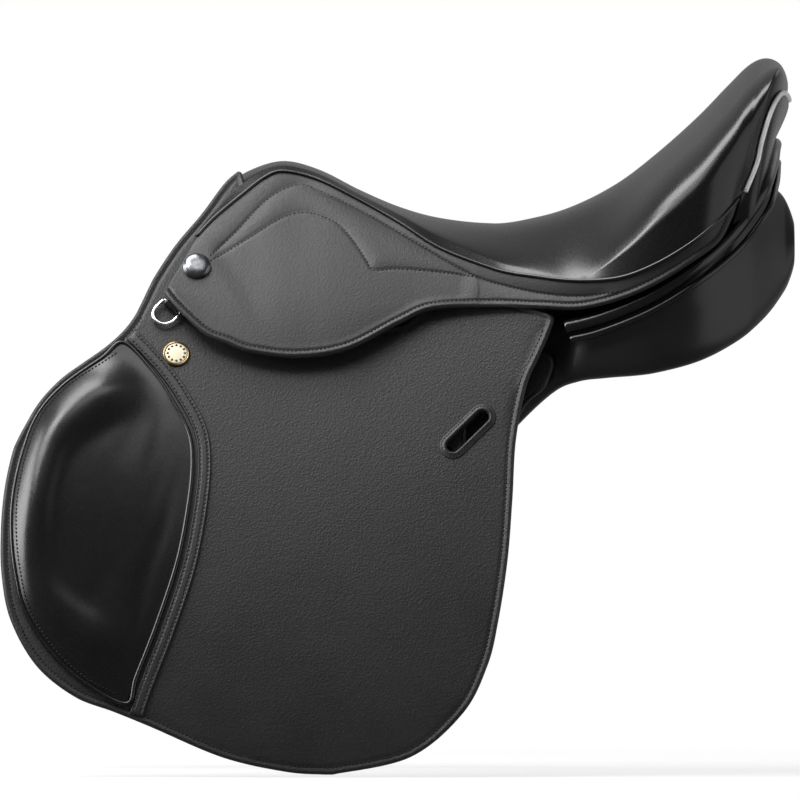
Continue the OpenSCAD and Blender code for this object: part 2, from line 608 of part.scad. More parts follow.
// Panels
panel_depth = -point_out;
function side_in(x, z, out) = [x, -half_w(x, z) - out, z];
function panel_loop(q) = let (
    x = seat_x(q[0]), zt = drop_z(q[1]), zb = drop_z(q[2]), h = zt - zb, w = q[3], d = -panel_depth * q[6],
    bulge = panel_t * panel_bulge_share * max(0, 1 - q[6]),
    o_top = side_in(x, zt, d), o_mid = side_in(x, zb + 0.5 * h, d + bulge),
    o_bot = side_in(x, zb + 0.1 * h, d - 0.08 * panel_t), i_bot = side_in(x, zb, d - 0.6 * panel_t),
    edge = [x, -channel_half_w, pommel_z * q[4]], wall = edge + [0, 0, panel_t * q[5]],
    mid = (i_bot + edge) / 2 - panel_t * panel_swell_share * [0, 1, 1],
    i_mid = mix(side_in(x, zb + 0.5 * h, d - 1.1 * panel_t), mid, w),
    c_low = mix(side_in(x, zt - 0.15 * h, d - panel_t), edge, w),
    c_top = mix(side_in(x, zt, d - 0.6 * panel_t), wall, w),
    t_mid = (c_top + o_top) / 2)
    closed_curve([o_top, o_mid, o_bot, i_bot, i_mid, c_low, c_top, t_mid], 2);

module panel() {
    rows = open_curve(panel_shares, 2);
    kept = [for (i = [0:len(rows) - 1]) if (i % 2 == 0 || i > panel_rear_index) rows[i]];
    color("#202020") loft([for (q = kept) panel_loop(q)]);
}

// Leather layers on the side
module sweat_flap() {
    outline = closed_curve([for (s = sweat_shares) on_flap(s)], 2);
    color("#262626") side_disc(outline, on_flap(sweat_centre_share), 4,
        function (r, p) sweat_out, function (r, p) sweat_in);
}

module buckle_guard() {
    outline = closed_curve([for (s = guard_shares) on_flap(s)], 2);
    color("#2a2a2a") side_disc(outline, on_flap(guard_centre_share), 3,
        function (r, p) -layer_gap, function (r, p) guard_in);
}

module tree_point() {
    outline = closed_curve([for (s = point_shares) on_flap(s)], 2);
    difference() {
        color("#a97c4a") side_disc(outline, on_flap(point_centre_share), 3,
            function (r, p) point_out, function (r, p) point_in);
        at_rivets() cylinder(d = rivet_d, h = 4 * point_t, center = true, $fn = 24);
    }
}

strap_first_x = flap_x(strap_first_share);
strap_top_z = drop_z(strap_top_share);
strap_rows = 10;
function strap_x(k) = strap_first_x + k * strap_pitch;

// Children at the pin of a strap: their Z runs outwards along the swing's axis
module at_strap_pin(k) {
    p = side_point([strap_x(k), strap_top_z - strap_pin_drop], strap_in + strap_t / 2);
    translate(p) rotate([90, 0, 0]) children();
}

module girth_strap(k) {
    x = strap_x(k);
    half = strap_w / 2;
    left = straight([x - half, strap_top_z], [x - half, strap_top_z - strap_l], strap_rows);
    right = straight([x + half, strap_top_z], [x + half, strap_top_z - strap_l], strap_rows);
    color("#3a2c22") difference() {
        side_strip(left, right, 2, function (p, v) strap_out, function (p, v) strap_in);
        for (h = [1:hole_count])
            on_side([x, strap_top_z - strap_l + hole_pitch * (h + 0.4)], strap_in - overrun)
                cylinder(d = hole_d, h = strap_t + 2 * overrun, $fn = 24);
        at_strap_pin(k) cylinder(d = strap_pin_d + 2 * pin_play, h = 4 * strap_t, center = true, $fn = 32);
    }
}

// Web that carries the strap's pins and the studs of the buckle guard
girth_web_high_share = 0.085;
girth_web_low_share = 0.405;
guard_stud_share = 0.380;
module girth_web() {
    x0 = strap_first_x - strap_w / 2;
    x1 = strap_x(2) + strap_w / 2;
    top = straight([x0, drop_z(girth_web_high_share)], [x1, drop_z(girth_web_high_share)], 8);
    low = straight([x0, drop_z(girth_web_low_share)], [x1, drop_z(girth_web_low_share)], 8);
    mid = girth_web_in + web_t / 2;
    slant = -side_normal(strap_x(1), strap_top_z)[1];
    color("#b9a06a") union() {
        side_strip(top, low, 6, function (p, v) girth_web_out, function (p, v) girth_web_in);
        for (k = [0:2]) at_strap_pin(k) translate([0, 0, (mid - strap_in - strap_t / 2) / slant])
            cylinder(d = strap_pin_d, h = (strap_out - mid) / slant, $fn = 32);
        for (k = [0.5, 1.5]) on_side([strap_x(k), drop_z(guard_stud_share)], mid)
            cylinder(d = strap_pin_d, h = guard_in - mid - layer_gap / 2, $fn = 32);
    }
}

flap_fold = [on_flap(flap_fold_shares[0]), on_flap(flap_fold_shares[1])];
module flap() {
    edge = open_curve([for (s = flap_edge_shares) on_flap(s)], 2);
    fold = straight(flap_fold[0], flap_fold[1], fold_steps);
    outline = concat(edge, [for (k = [1:fold_steps - 1]) fold[k]]);
    color("#2a2a2a") difference() {
        side_disc(outline, on_flap(flap_centre_share), 5, function (r, p) flap_t, function (r, p) 0);
        on_side(on_flap(keeper_share), -overrun, keeper_turn)
            slot(keeper_l, keeper_w, flap_t + 2 * overrun);
        on_side(on_flap(stud_share), -overrun)
            cylinder(d = nail_shank_d, h = flap_t + 2 * overrun, $fn = 24);
    }
}

module slot(l, w, h) {
    translate([w / 2 - l / 2, -w / 2, 0]) cube([l - w, w, h]);
    for (k = [-1, 1]) translate([k * (l - w) / 2, 0, 0]) cylinder(d = w, h = h, $fn = 32);
}

module keeper_rim() {
    rim_t = keeper_rim_w / 2;
    color("#2e2e2e") on_side(on_flap(keeper_share), flap_t + 1.25 * layer_gap, keeper_turn) difference() {
        slot(keeper_l + 2 * keeper_rim_w, keeper_w + 2 * keeper_rim_w, rim_t);
        translate([0, 0, -overrun]) slot(keeper_l, keeper_w, rim_t + 2 * overrun);
    }
}

module flap_head() {
    top = split_line([for (s = head_top_shares) on_flap(s)], 2);
    function low(x) = layer_gap / 2 - flap_drop * lookup((x + flap_reach) / flap_w, head_low_shares);
    color("#2a2a2a") side_strip(top, [for (p = top) [p[0], low(p[0])]], 3,
        function (p, v) flap_t, function (p, v) 0);
}

// Knee pads: a roll round the front and lower edge, hollowed inside
knee_base = flap_t + layer_gap / 2;
function knee_height(r, p) = let (
    front = max(0, min(1, (flap_x(0.36) - p[0]) / (flap_w * 0.30))),
    low = max(0, min(1, (drop_z(0.25) - p[1]) / (flap_drop * 0.5))),
    roll = (0.30 + 0.70 * max(front, low * 0.8)) * pow(max(0, 1 - pow(abs(r - 0.70) / 0.30, 2.4)), 0.5),
    floor = 0.34 + 0.16 * low)
    knee_h * (r > 0.999 ? 0.08 : r < 0.70 ? mix(floor, max(roll, floor), pow(r / 0.70, 2)) : max(roll, 0.1));

module knee_pad() {
    outline = closed_curve([for (s = knee_shares) on_flap(s)], 2);
    color("#1c1c1c") side_disc(outline, on_flap(knee_centre_share), 6,
        function (r, p) knee_base + knee_height(r, p), function (r, p) knee_base);
}

module knee_band() {
    inner = open_curve([for (s = knee_band_shares) on_flap(s)], 3);
    last = len(inner) - 1;
    outer = [for (i = [0:last]) let (d = unit(inner[min(i + 1, last)] - inner[max(i - 1, 0)]))
        inner[i] + knee_band_w * [-d[1], d[0]]];
    color("#242424") side_strip(inner, outer, 1,
        function (p, v) knee_base + knee_band_t, function (p, v) knee_base);
}

// Skirts: how far their inner face stands off the form at a place along the seat and a share down the skirt
lift_table = open_curve(skirt_lift_shares, 4);
swell_table = open_curve(skirt_swell_shares, 4);
function skirt_out(x, v) = let (s = seat_s(x))
    skirt_in + skirt_lift * v * lookup(s, lift_table) + skirt_swell * sin(180 * v) * lookup(s, swell_table);

nail_at = on_seat(nail_share);
nail_v_share = 0.52;
module skirt() {
    fold = open_curve([for (s = skirt_fold_shares) on_seat(s)], seat_steps);
    top = [for (i = [0:len(fold) - 1]) edge_of(seat_rows[i]) - [0, layer_gap]];
    color("#2d2d2d") difference() {
        side_strip(top, fold, 3,
            function (p, v) skirt_out(p[0], skirt_fold_v_share * v) + skirt_t,
            function (p, v) skirt_out(p[0], skirt_fold_v_share * v));
        on_side(nail_at, skirt_in) cylinder(d = nail_shank_d, h = 6 * skirt_t, $fn = 24);
    }
}

module skirt_lobe() {
    fold = open_curve([for (s = lobe_fold_shares) on_seat(s)], 3);
    edge = open_curve([for (s = lobe_edge_shares) on_seat(s)], 3);
    drop = [0, -layer_gap / 2];
    color("#2d2d2d") side_strip([for (p = fold) p - drop], [for (p = edge) p + drop], 3,
        function (p, v) skirt_out(p[0], mix(skirt_fold_v_share, 1, v)) + skirt_t,
        function (p, v) skirt_out(p[0], mix(skirt_fold_v_share, 1, v)));
}

// Nail or stud: a dome on a shank that goes down through the leather
module nail(shank) {
    translate([0, 0, layer_gap / 8]) rotate_extrude($fn = 48) polygon(concat(
        [[0, 0], [nail_d / 2, 0]],
        [for (a = [15:15:75]) [nail_d / 2 * cos(a), nail_h * sin(a)]],
        [[0, nail_h]]));
    translate([0, 0, -shank]) cylinder(d = nail_shank_d, h = shank + nail_h / 2, $fn = 24);
}

nail_out = skirt_out(nail_at[0], nail_v_share) + skirt_t + 1.25 * layer_gap;
module skirt_nail() {
    color("#d6d6d6") on_side(nail_at, nail_out) nail(skirt_t);
}

module flap_stud() {
    color("#c7a25a") on_side(on_flap(stud_share), flap_t) nail(flap_t);
}

// Stirrup bar: back plate on the tree's point, a bar on a foot at the front and a hinged catch at the rear
bar_at = on_flap(bar_share);
rivet_d = 5;
rivet_head_t = 1.5;
plate_in = point_out + 2.5 * layer_gap;
plate_out = plate_in + bar_plate_t;
bar_in = plate_out + bar_gap;
plate_h = 3 * bar_w;
lap_t = bar_t / 2;
catch_l = 2 * bar_w;
catch_x = bar_l / 2 + bar_w / 2;
module at_rivets() {
    for (k = [-1, 1])
        on_side(bar_at, plate_out) translate([k * bar_l * 0.3, plate_h * 0.3, 0]) children();
}

module stirrup_bar() {
    color("#b6b8ba") on_side(bar_at, 0) {
        difference() {
            translate([-bar_l / 2 - bar_w, -plate_h / 2, plate_in]) cube([bar_l + bar_w, plate_h, bar_plate_t]);
            for (k = [-1, 1]) translate([k * bar_l * 0.3, plate_h * 0.3, plate_in - overrun])
                cylinder(d = rivet_d, h = bar_plate_t + 2 * overrun, $fn = 32);
        }
        translate([-bar_l / 2 - bar_w, -bar_w / 2, plate_in]) cube([bar_w, bar_w, bar_in + bar_t - plate_in]);
        translate([-bar_l / 2 - bar_w, -bar_w / 2, bar_in]) cube([bar_l + bar_w, bar_w, bar_t]);
        translate([bar_l / 2 - overrun, -bar_w / 2, bar_in])
            cube([bar_w / 2 + overrun, bar_w, lap_t - hard_gap / 2]);
        translate([catch_x, 0, bar_in]) cylinder(d = bar_w, h = lap_t - hard_gap / 2, $fn = 48);
        translate([catch_x, 0, bar_in]) cylinder(d = catch_pin_d, h = bar_t + hard_gap, $fn = 32);
        translate([catch_x, 0, bar_in + bar_t + hard_gap / 2])
            cylinder(d = bar_w * 0.7, h = rivet_head_t, $fn = 32);
    }
}

module bar_catch() {
    color("#c2c4c6") on_side(bar_at, 0) translate([catch_x, 0, bar_in + lap_t + hard_gap / 2]) difference() {
        union() {
            cylinder(d = bar_w - hard_gap, h = lap_t - hard_gap / 2, $fn = 48);
            translate([0, hard_gap / 2 - bar_w / 2, 0]) cube([catch_l, bar_w - hard_gap, lap_t - hard_gap / 2]);
        }
        translate([0, 0, -overrun]) cylinder(d = catch_pin_d + 2 * pin_play, h = bar_t, $fn = 32);
    }
}

module bar_rivets() {
    for (side = [0, 1]) mirror([0, side, 0]) color("#9c9ea0") at_rivets() {
        translate([0, 0, -bar_plate_t - point_t]) cylinder(d = rivet_d, h = bar_plate_t + point_t, $fn = 32);
        translate([0, 0, layer_gap / 8]) cylinder(d = 2 * rivet_d, h = rivet_head_t, $fn = 32);
        cylinder(d = rivet_d, h = rivet_head_t / 2, $fn = 32);
    }
}

// Front ring and the tab it hangs from
ring_at = on_flap(ring_share);
tab_wall = 1.5;
ring_play = 0.1;
ring_out = flap_t + hard_gap + tab_wall + ring_play + ring_wire_d / 2;
tab_w = ring_w - 2 * hard_gap;
tab_l = 1.5 * ring_w;
module ring_tab() {
    r = ring_wire_d / 2 + ring_play + tab_wall;
    color("#2a2a2a") on_side(ring_at, ring_out, ring_turn) difference() {
        union() {
            rotate([0, 90, 0]) cylinder(r = r, h = tab_w, center = true, $fn = 48);
            translate([-tab_w / 2, 0, -r]) cube([tab_w, tab_l, 2 * tab_wall]);
        }
        rotate([0, 90, 0])
            cylinder(r = ring_wire_d / 2 + ring_play, h = ring_w + 2 * overrun, center = true, $fn = 48);
    }
}

module front_ring() {
    r = ring_wire_d / 2;
    reach = ring_w / 2 + r;
    leg = ring_l - ring_w / 2;
    color("#dcdcdc") on_side(ring_at, ring_out, ring_turn) {
        rotate([0, 90, 0]) cylinder(r = r, h = 2 * reach, center = true, $fn = 32);
        for (k = [-1, 1]) translate([k * reach, 0, 0]) {
            sphere(r = r, $fn = 32);
            rotate([90, 0, 0]) cylinder(r = r, h = leg, $fn = 32);
        }
        translate([0, -leg, 0]) rotate([0, 0, 180]) rotate_extrude(angle = 180, $fn = 64)
            translate([reach, 0]) circle(r = r, $fn = 32);
    }
}

module skirt_nails() {
    skirt_nail();
    on_right() skirt_nail();
}

tree_head();
tree_rail();  // tree_rail_left
on_right() tree_rail();  // tree_rail_right
tree_cantle();
tree_point();  // tree_point_left
on_right() tree_point();  // tree_point_right
gullet_plate();
spring();  // spring_left
on_right() spring();  // spring_right
seat_web_long();
seat_web_cross();
seat_foam();
seat_cover();
head_lining();
cantle_back();
cantle_piping();
cantle_band();
panel();  // panel_left
on_right() panel();  // panel_right
panel_welt();  // panel_welt_left
on_right() panel_welt();  // panel_welt_right
sweat_flap();  // sweat_flap_left
on_right() sweat_flap();  // sweat_flap_right
girth_web();  // girth_web_left
on_right() girth_web();  // girth_web_right
girth_strap(0);  // girth_strap_front_left
girth_strap(1);  // girth_strap_middle_left
girth_strap(2);  // girth_strap_rear_left
on_right() girth_strap(0);  // girth_strap_front_right
on_right() girth_strap(1);  // girth_strap_middle_right
on_right() girth_strap(2);  // girth_strap_rear_right
buckle_guard();  // buckle_guard_left
on_right() buckle_guard();  // buckle_guard_right
stirrup_bar();  // stirrup_bar_left
on_right() stirrup_bar();  // stirrup_bar_right
bar_catch();  // bar_catch_left
on_right() bar_catch();  // bar_catch_right
bar_rivets();
flap_head();  // flap_head_left
on_right() flap_head();  // flap_head_right
flap();  // flap_left
on_right() flap();  // flap_right
keeper_rim();  // keeper_rim_left
on_right() keeper_rim();  // keeper_rim_right
knee_pad();  // knee_pad_left
on_right() knee_pad();  // knee_pad_right
knee_band();  // knee_band_left
on_right() knee_band();  // knee_band_right
skirt();  // skirt_left
on_right() skirt();  // skirt_right
skirt_lobe();  // skirt_lobe_left
on_right() skirt_lobe();  // skirt_lobe_right
ring_tab();  // ring_tab_left
on_right() ring_tab();  // ring_tab_right
front_ring();  // front_ring_left
on_right() front_ring();  // front_ring_right
skirt_nails();
flap_stud();  // flap_stud_left
on_right() flap_stud();  // flap_stud_right
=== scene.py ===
"""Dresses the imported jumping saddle: leather, padding, seams and fittings on the fixed frame."""

import logging
import math
from dataclasses import dataclass, field
from enum import Enum
from typing import Callable, Optional, Sequence

import bpy
import numpy as np
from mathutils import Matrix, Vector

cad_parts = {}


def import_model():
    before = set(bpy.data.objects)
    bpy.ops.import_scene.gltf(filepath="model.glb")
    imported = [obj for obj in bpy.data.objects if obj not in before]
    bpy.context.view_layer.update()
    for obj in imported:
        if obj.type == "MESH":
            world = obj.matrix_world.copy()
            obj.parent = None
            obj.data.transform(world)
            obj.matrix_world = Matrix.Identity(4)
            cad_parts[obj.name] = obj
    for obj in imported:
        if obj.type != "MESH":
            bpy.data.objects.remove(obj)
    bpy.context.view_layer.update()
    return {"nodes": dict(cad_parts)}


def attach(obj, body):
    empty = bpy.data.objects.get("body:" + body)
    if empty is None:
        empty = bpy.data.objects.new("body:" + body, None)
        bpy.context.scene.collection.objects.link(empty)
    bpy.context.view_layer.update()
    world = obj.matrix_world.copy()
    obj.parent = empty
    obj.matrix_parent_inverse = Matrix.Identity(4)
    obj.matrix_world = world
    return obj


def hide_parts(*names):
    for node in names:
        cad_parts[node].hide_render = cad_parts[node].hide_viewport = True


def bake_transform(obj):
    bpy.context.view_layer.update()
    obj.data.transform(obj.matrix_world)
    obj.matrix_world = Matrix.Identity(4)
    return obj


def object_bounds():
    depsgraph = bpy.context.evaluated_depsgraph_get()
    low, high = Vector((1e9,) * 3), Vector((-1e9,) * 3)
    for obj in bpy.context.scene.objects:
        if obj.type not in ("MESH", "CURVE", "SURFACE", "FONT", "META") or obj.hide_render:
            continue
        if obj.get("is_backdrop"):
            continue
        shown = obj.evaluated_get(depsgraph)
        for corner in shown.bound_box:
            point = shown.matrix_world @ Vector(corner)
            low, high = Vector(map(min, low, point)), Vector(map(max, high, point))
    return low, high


LOG = logging.getLogger("saddle")
MM = 0.001
PIXEL = 0.72
OTHER_SIDE = np.array([1, -1, 1])
BATCH = 4000

Array = np.ndarray
Row = Sequence[float]
Pairs = Sequence[Row]
Faces = tuple[Array, Array]
Colour = tuple[float, float, float]
Piece = bpy.types.Object
Socket = bpy.types.NodeSocket


class Side(Enum):
    """The two sides of the saddle, named as the frame names its bodies."""

    NEAR = "left"
    OFF = "right"

    def body(self, stem: str) -> str:
        """Name of this side's body or node."""
        return f"{stem}_{self.value}"


def between(a: Array, b: Array, c: Array, d: Array, t: Array) -> Array:
    """Smooth curve from b to c at shares t, with a before them and d after."""
    return 0.5 * (2 * b + (c - a) * t + (2 * a - 5 * b + 4 * c - d) * t**2 + (3 * b - a - 3 * c + d) * t**3)


def length_along(points: Array) -> Array:
    """How far along a line each of its points lies."""
    return np.concatenate([[0], np.cumsum(np.linalg.norm(np.diff(points, axis=0), axis=1))])


def leftward(ahead: Array) -> Array:
    """Directions on the side view turned a quarter to the left."""
    return columns(-ahead[:, 1], ahead[:, 0])


def columns(*parts: Array) -> Array:
    """Values side by side, one row for each point."""
    return np.stack(np.broadcast_arrays(*parts), axis=1)


def at_lengths(at: Array, run: Array, rows: Array) -> Array:
    """Rows read at lengths along the line that they run along."""
    return columns(*(np.interp(at, run, column) for column in rows.T))


def ringed(line: Array) -> Array:
    """A closed line with its first point repeated at its end."""
    return np.concatenate([line, line[:1]])


def spline(points: Array, at: Array, closed: bool = False) -> Array:
    """Smooth curve through points.

    Args:
        points: one row for each point.
        at: places on the curve, counted in points.
        closed: whether the last point runs on into the first.

    Returns:
        One row for each place.
    """
    p = np.asarray(points, float)
    n = len(p)
    at = np.asarray(at, float)
    if closed:
        i = np.floor(at).astype(int)
        a, b, c, d = (p[(i + k) % n] for k in (-1, 0, 1, 2))
    else:
        i = np.clip(np.floor(at).astype(int), 0, n - 2)
        a, b, c, d = (p[np.clip(i + k, 0, n - 1)] for k in (-1, 0, 1, 2))
    return between(a, b, c, d, (at - i)[..., None])


def drawn(points: Array, step: float, closed: bool = False) -> Array:
    """Points at even steps along the smooth curve through the given ones.

    Args:
        points: one row for each point.
        step: length of a step, rounded so that the steps come out even.
        closed: whether the curve runs back to its start, which is then not repeated.

    Returns:
        The evenly spaced points.
    """
    n = len(points) if closed else len(points) - 1
    fine = spline(points, np.linspace(0, n, 60 * n + 1), closed)
    run = length_along(fine)
    count = max(2, int(round(run[-1] / step)))
    at = np.linspace(0, run[-1], count + 1)
    even = at_lengths(at, run, fine)
    return even[:-1] if closed else even


def curve(points: Pairs, x: Array) -> Array:
    """Height at x of the smooth curve through points."""
    return np.interp(x, *spline(points, np.linspace(0, len(points) - 1, 60)).T)


def reach(places: Array, path: Array) -> Faces:
    """Distance from each place to a path, and how far along the path its nearest point lies.

    Args:
        places: places on the side view.
        path: points of the path on the side view.

    Returns:
        The distances, and the lengths along the path.
    """
    a, b = path[:-1], path[1:]
    d = b - a
    long = np.maximum((d**2).sum(1), 1e-12)
    run = np.concatenate([[0], np.cumsum(np.sqrt(long))])
    near, along = np.empty(len(places)), np.empty(len(places))
    for i in range(0, len(places), BATCH):
        some = slice(i, i + BATCH)
        p = places[some, None, :] - a[None]
        t = np.clip((p * d[None]).sum(2) / long[None], 0, 1)
        gap = ((p - t[..., None] * d[None])**2).sum(2)
        k = gap.argmin(1)
        rows = np.arange(len(k))
        near[some] = np.sqrt(gap[rows, k])
        along[some] = run[k] + t[rows, k] * np.sqrt(long[k])
    return near, along


def moved_in(ring: Array, inset: float) -> Array:
    """A closed line on the side view moved inwards, or outwards where the distance is negative."""
    tangent = unit(np.roll(ring, -1, 0) - np.roll(ring, 1, 0))
    ahead = np.roll(ring, -1, 0)
    area = (ring[:, 0] * ahead[:, 1] - ring[:, 1] * ahead[:, 0]).sum()
    return ring + math.copysign(inset, inset * area) * leftward(tangent)


def soft_step(x: Array, low: float, high: float) -> Array:
    """Smooth change from 0 at low to 1 at high."""
    t = np.clip((np.asarray(x, float) - low) / (high - low), 0, 1)
    return t * t * (3 - 2 * t)


def unit(v: Array) -> Array:
    """The rows of v at length one."""
    return v / np.maximum(np.linalg.norm(v, axis=-1, keepdims=True), 1e-12)


def seen(points: Pairs) -> Array:
    """Places on the side view, in millimetres, from pixels of the photograph."""
    p = np.asarray(points, float)
    return columns((p[:, 0] - 400) * PIXEL, (305 - p[:, 1]) * PIXEL)


@dataclass(frozen=True)
class SaddleForm:
    """Sizes and curves that all the pieces share, in millimetres, as in the part's source."""

    seat_l: float = 394
    seat_ahead: float = 112
    seat_low: float = 60
    pommel_rise: float = 45
    cantle_rise: float = 120
    seat_side_h: float = 80
    pommel_half_w: float = 30
    flap_half_w: float = 212
    rear_flare: float = 110
    flap_reach: float = 286
    flap_back: float = 110
    flap_drop: float = 336
    side_round: float = 1.5
    flare_fade: float = 3
    layer_gap: float = 0.8
    flap_t: float = 4
    skirt_in: float = 4.8
    skirt_t: float = 4
    flare_shares: Pairs = (
        (-0.5, 0), (-0.1, 0), (0.07, 0.02), (0.16, 0.075), (0.283, 0.185), (0.448, 0.455), (0.614, 0.85),
        (0.722, 1.03), (0.813, 1), (0.87, 0.84), (0.909, 0.57), (0.96, 0.25), (1, 0.05), (1.2, 0))
    flare: Array = field(init=False, repr=False, compare=False, default=None)

    def __post_init__(self) -> None:
        """Draws the flare's curve once."""
        n = len(self.flare_shares) - 1
        object.__setattr__(self, "flare", spline(np.array(self.flare_shares), np.linspace(0, n, 20 * n + 1)))

    @property
    def pommel_z(self) -> float:
        """Height of the pommel."""
        return self.seat_low + self.pommel_rise

    def seat_x(self, s: Array) -> Array:
        """Place along the saddle from a share of the seat's length."""
        return self.seat_l * np.asarray(s, float) - self.seat_ahead

    def drop_z(self, s: Array) -> Array:
        """Height from a share of the flap's drop, or of the pommel's height where it is negative."""
        s = np.asarray(s, float)
        return np.where(s > 0, -self.flap_drop * s, -self.pommel_z * s)

    def on_flap(self, shares: Pairs) -> Array:
        """Places on the side view from shares in the flap's frame."""
        s = np.atleast_2d(np.asarray(shares, float))
        wide = self.flap_reach + self.flap_back
        return columns(wide * s[:, 0] - self.flap_reach, self.drop_z(s[:, 1]))

    def on_seat(self, shares: Pairs) -> Array:
        """Places on the side view from shares in the seat's frame."""
        s = np.atleast_2d(np.asarray(shares, float))
        return columns(self.seat_x(s[:, 0]), self.drop_z(s[:, 1]))

    def half_width(self, x: Array, z: Array) -> Array:
        """Half width of the flap's inner face."""
        t = np.minimum((self.pommel_z - z) / (self.pommel_z + self.flap_drop), 1)
        wide = np.interp((x + self.seat_ahead) / self.seat_l, self.flare[:, 0], self.flare[:, 1])
        return (self.pommel_half_w + (self.flap_half_w - self.pommel_half_w) * (1 - (1 - t)**self.side_round)
                + self.rear_flare * wide * (1 - t)**self.flare_fade)

    def outward(self, places: Array) -> Array:
        """Normals of the near side's form at places on the side view."""
        x, z, e = places[:, 0], places[:, 1], 1.0
        hx = (self.half_width(x + e, z) - self.half_width(x - e, z)) / (2 * e)
        hz = (self.half_width(x, z + e) - self.half_width(x, z - e)) / (2 * e)
        return unit(columns(-hx, -np.ones_like(hx), -hz))

    def under(self, places: Array, out: Array) -> Array:
        """Places on the form from which points that stand off it are seen at the given places.

        Args:
            places: places on the side view where the points are seen.
            out: their distances from the form.

        Returns:
            The places on the form.
        """
        places = np.atleast_2d(places)
        base = places
        for _ in range(8):
            base = places - np.broadcast_to(out, len(places))[:, None] * self.outward(base)[:, [0, 2]]
        return base

    def stand(self, places: Array, out: Array) -> Array:
        """Points that stand off the near side and are seen at the given places."""
        return self.place(self.under(places, out), out)

    def place(self, places: Array, out: Array) -> Array:
        """Points on the near side.

        Args:
            places: places on the side view.
            out: distances outwards from the flap's inner face.

        Returns:
            The points.
        """
        places = np.atleast_2d(places)
        base = columns(places[:, 0], -self.half_width(places[:, 0], places[:, 1]), places[:, 1])
        return base + np.broadcast_to(out, len(places))[:, None] * self.outward(places)


FORM = SaddleForm()


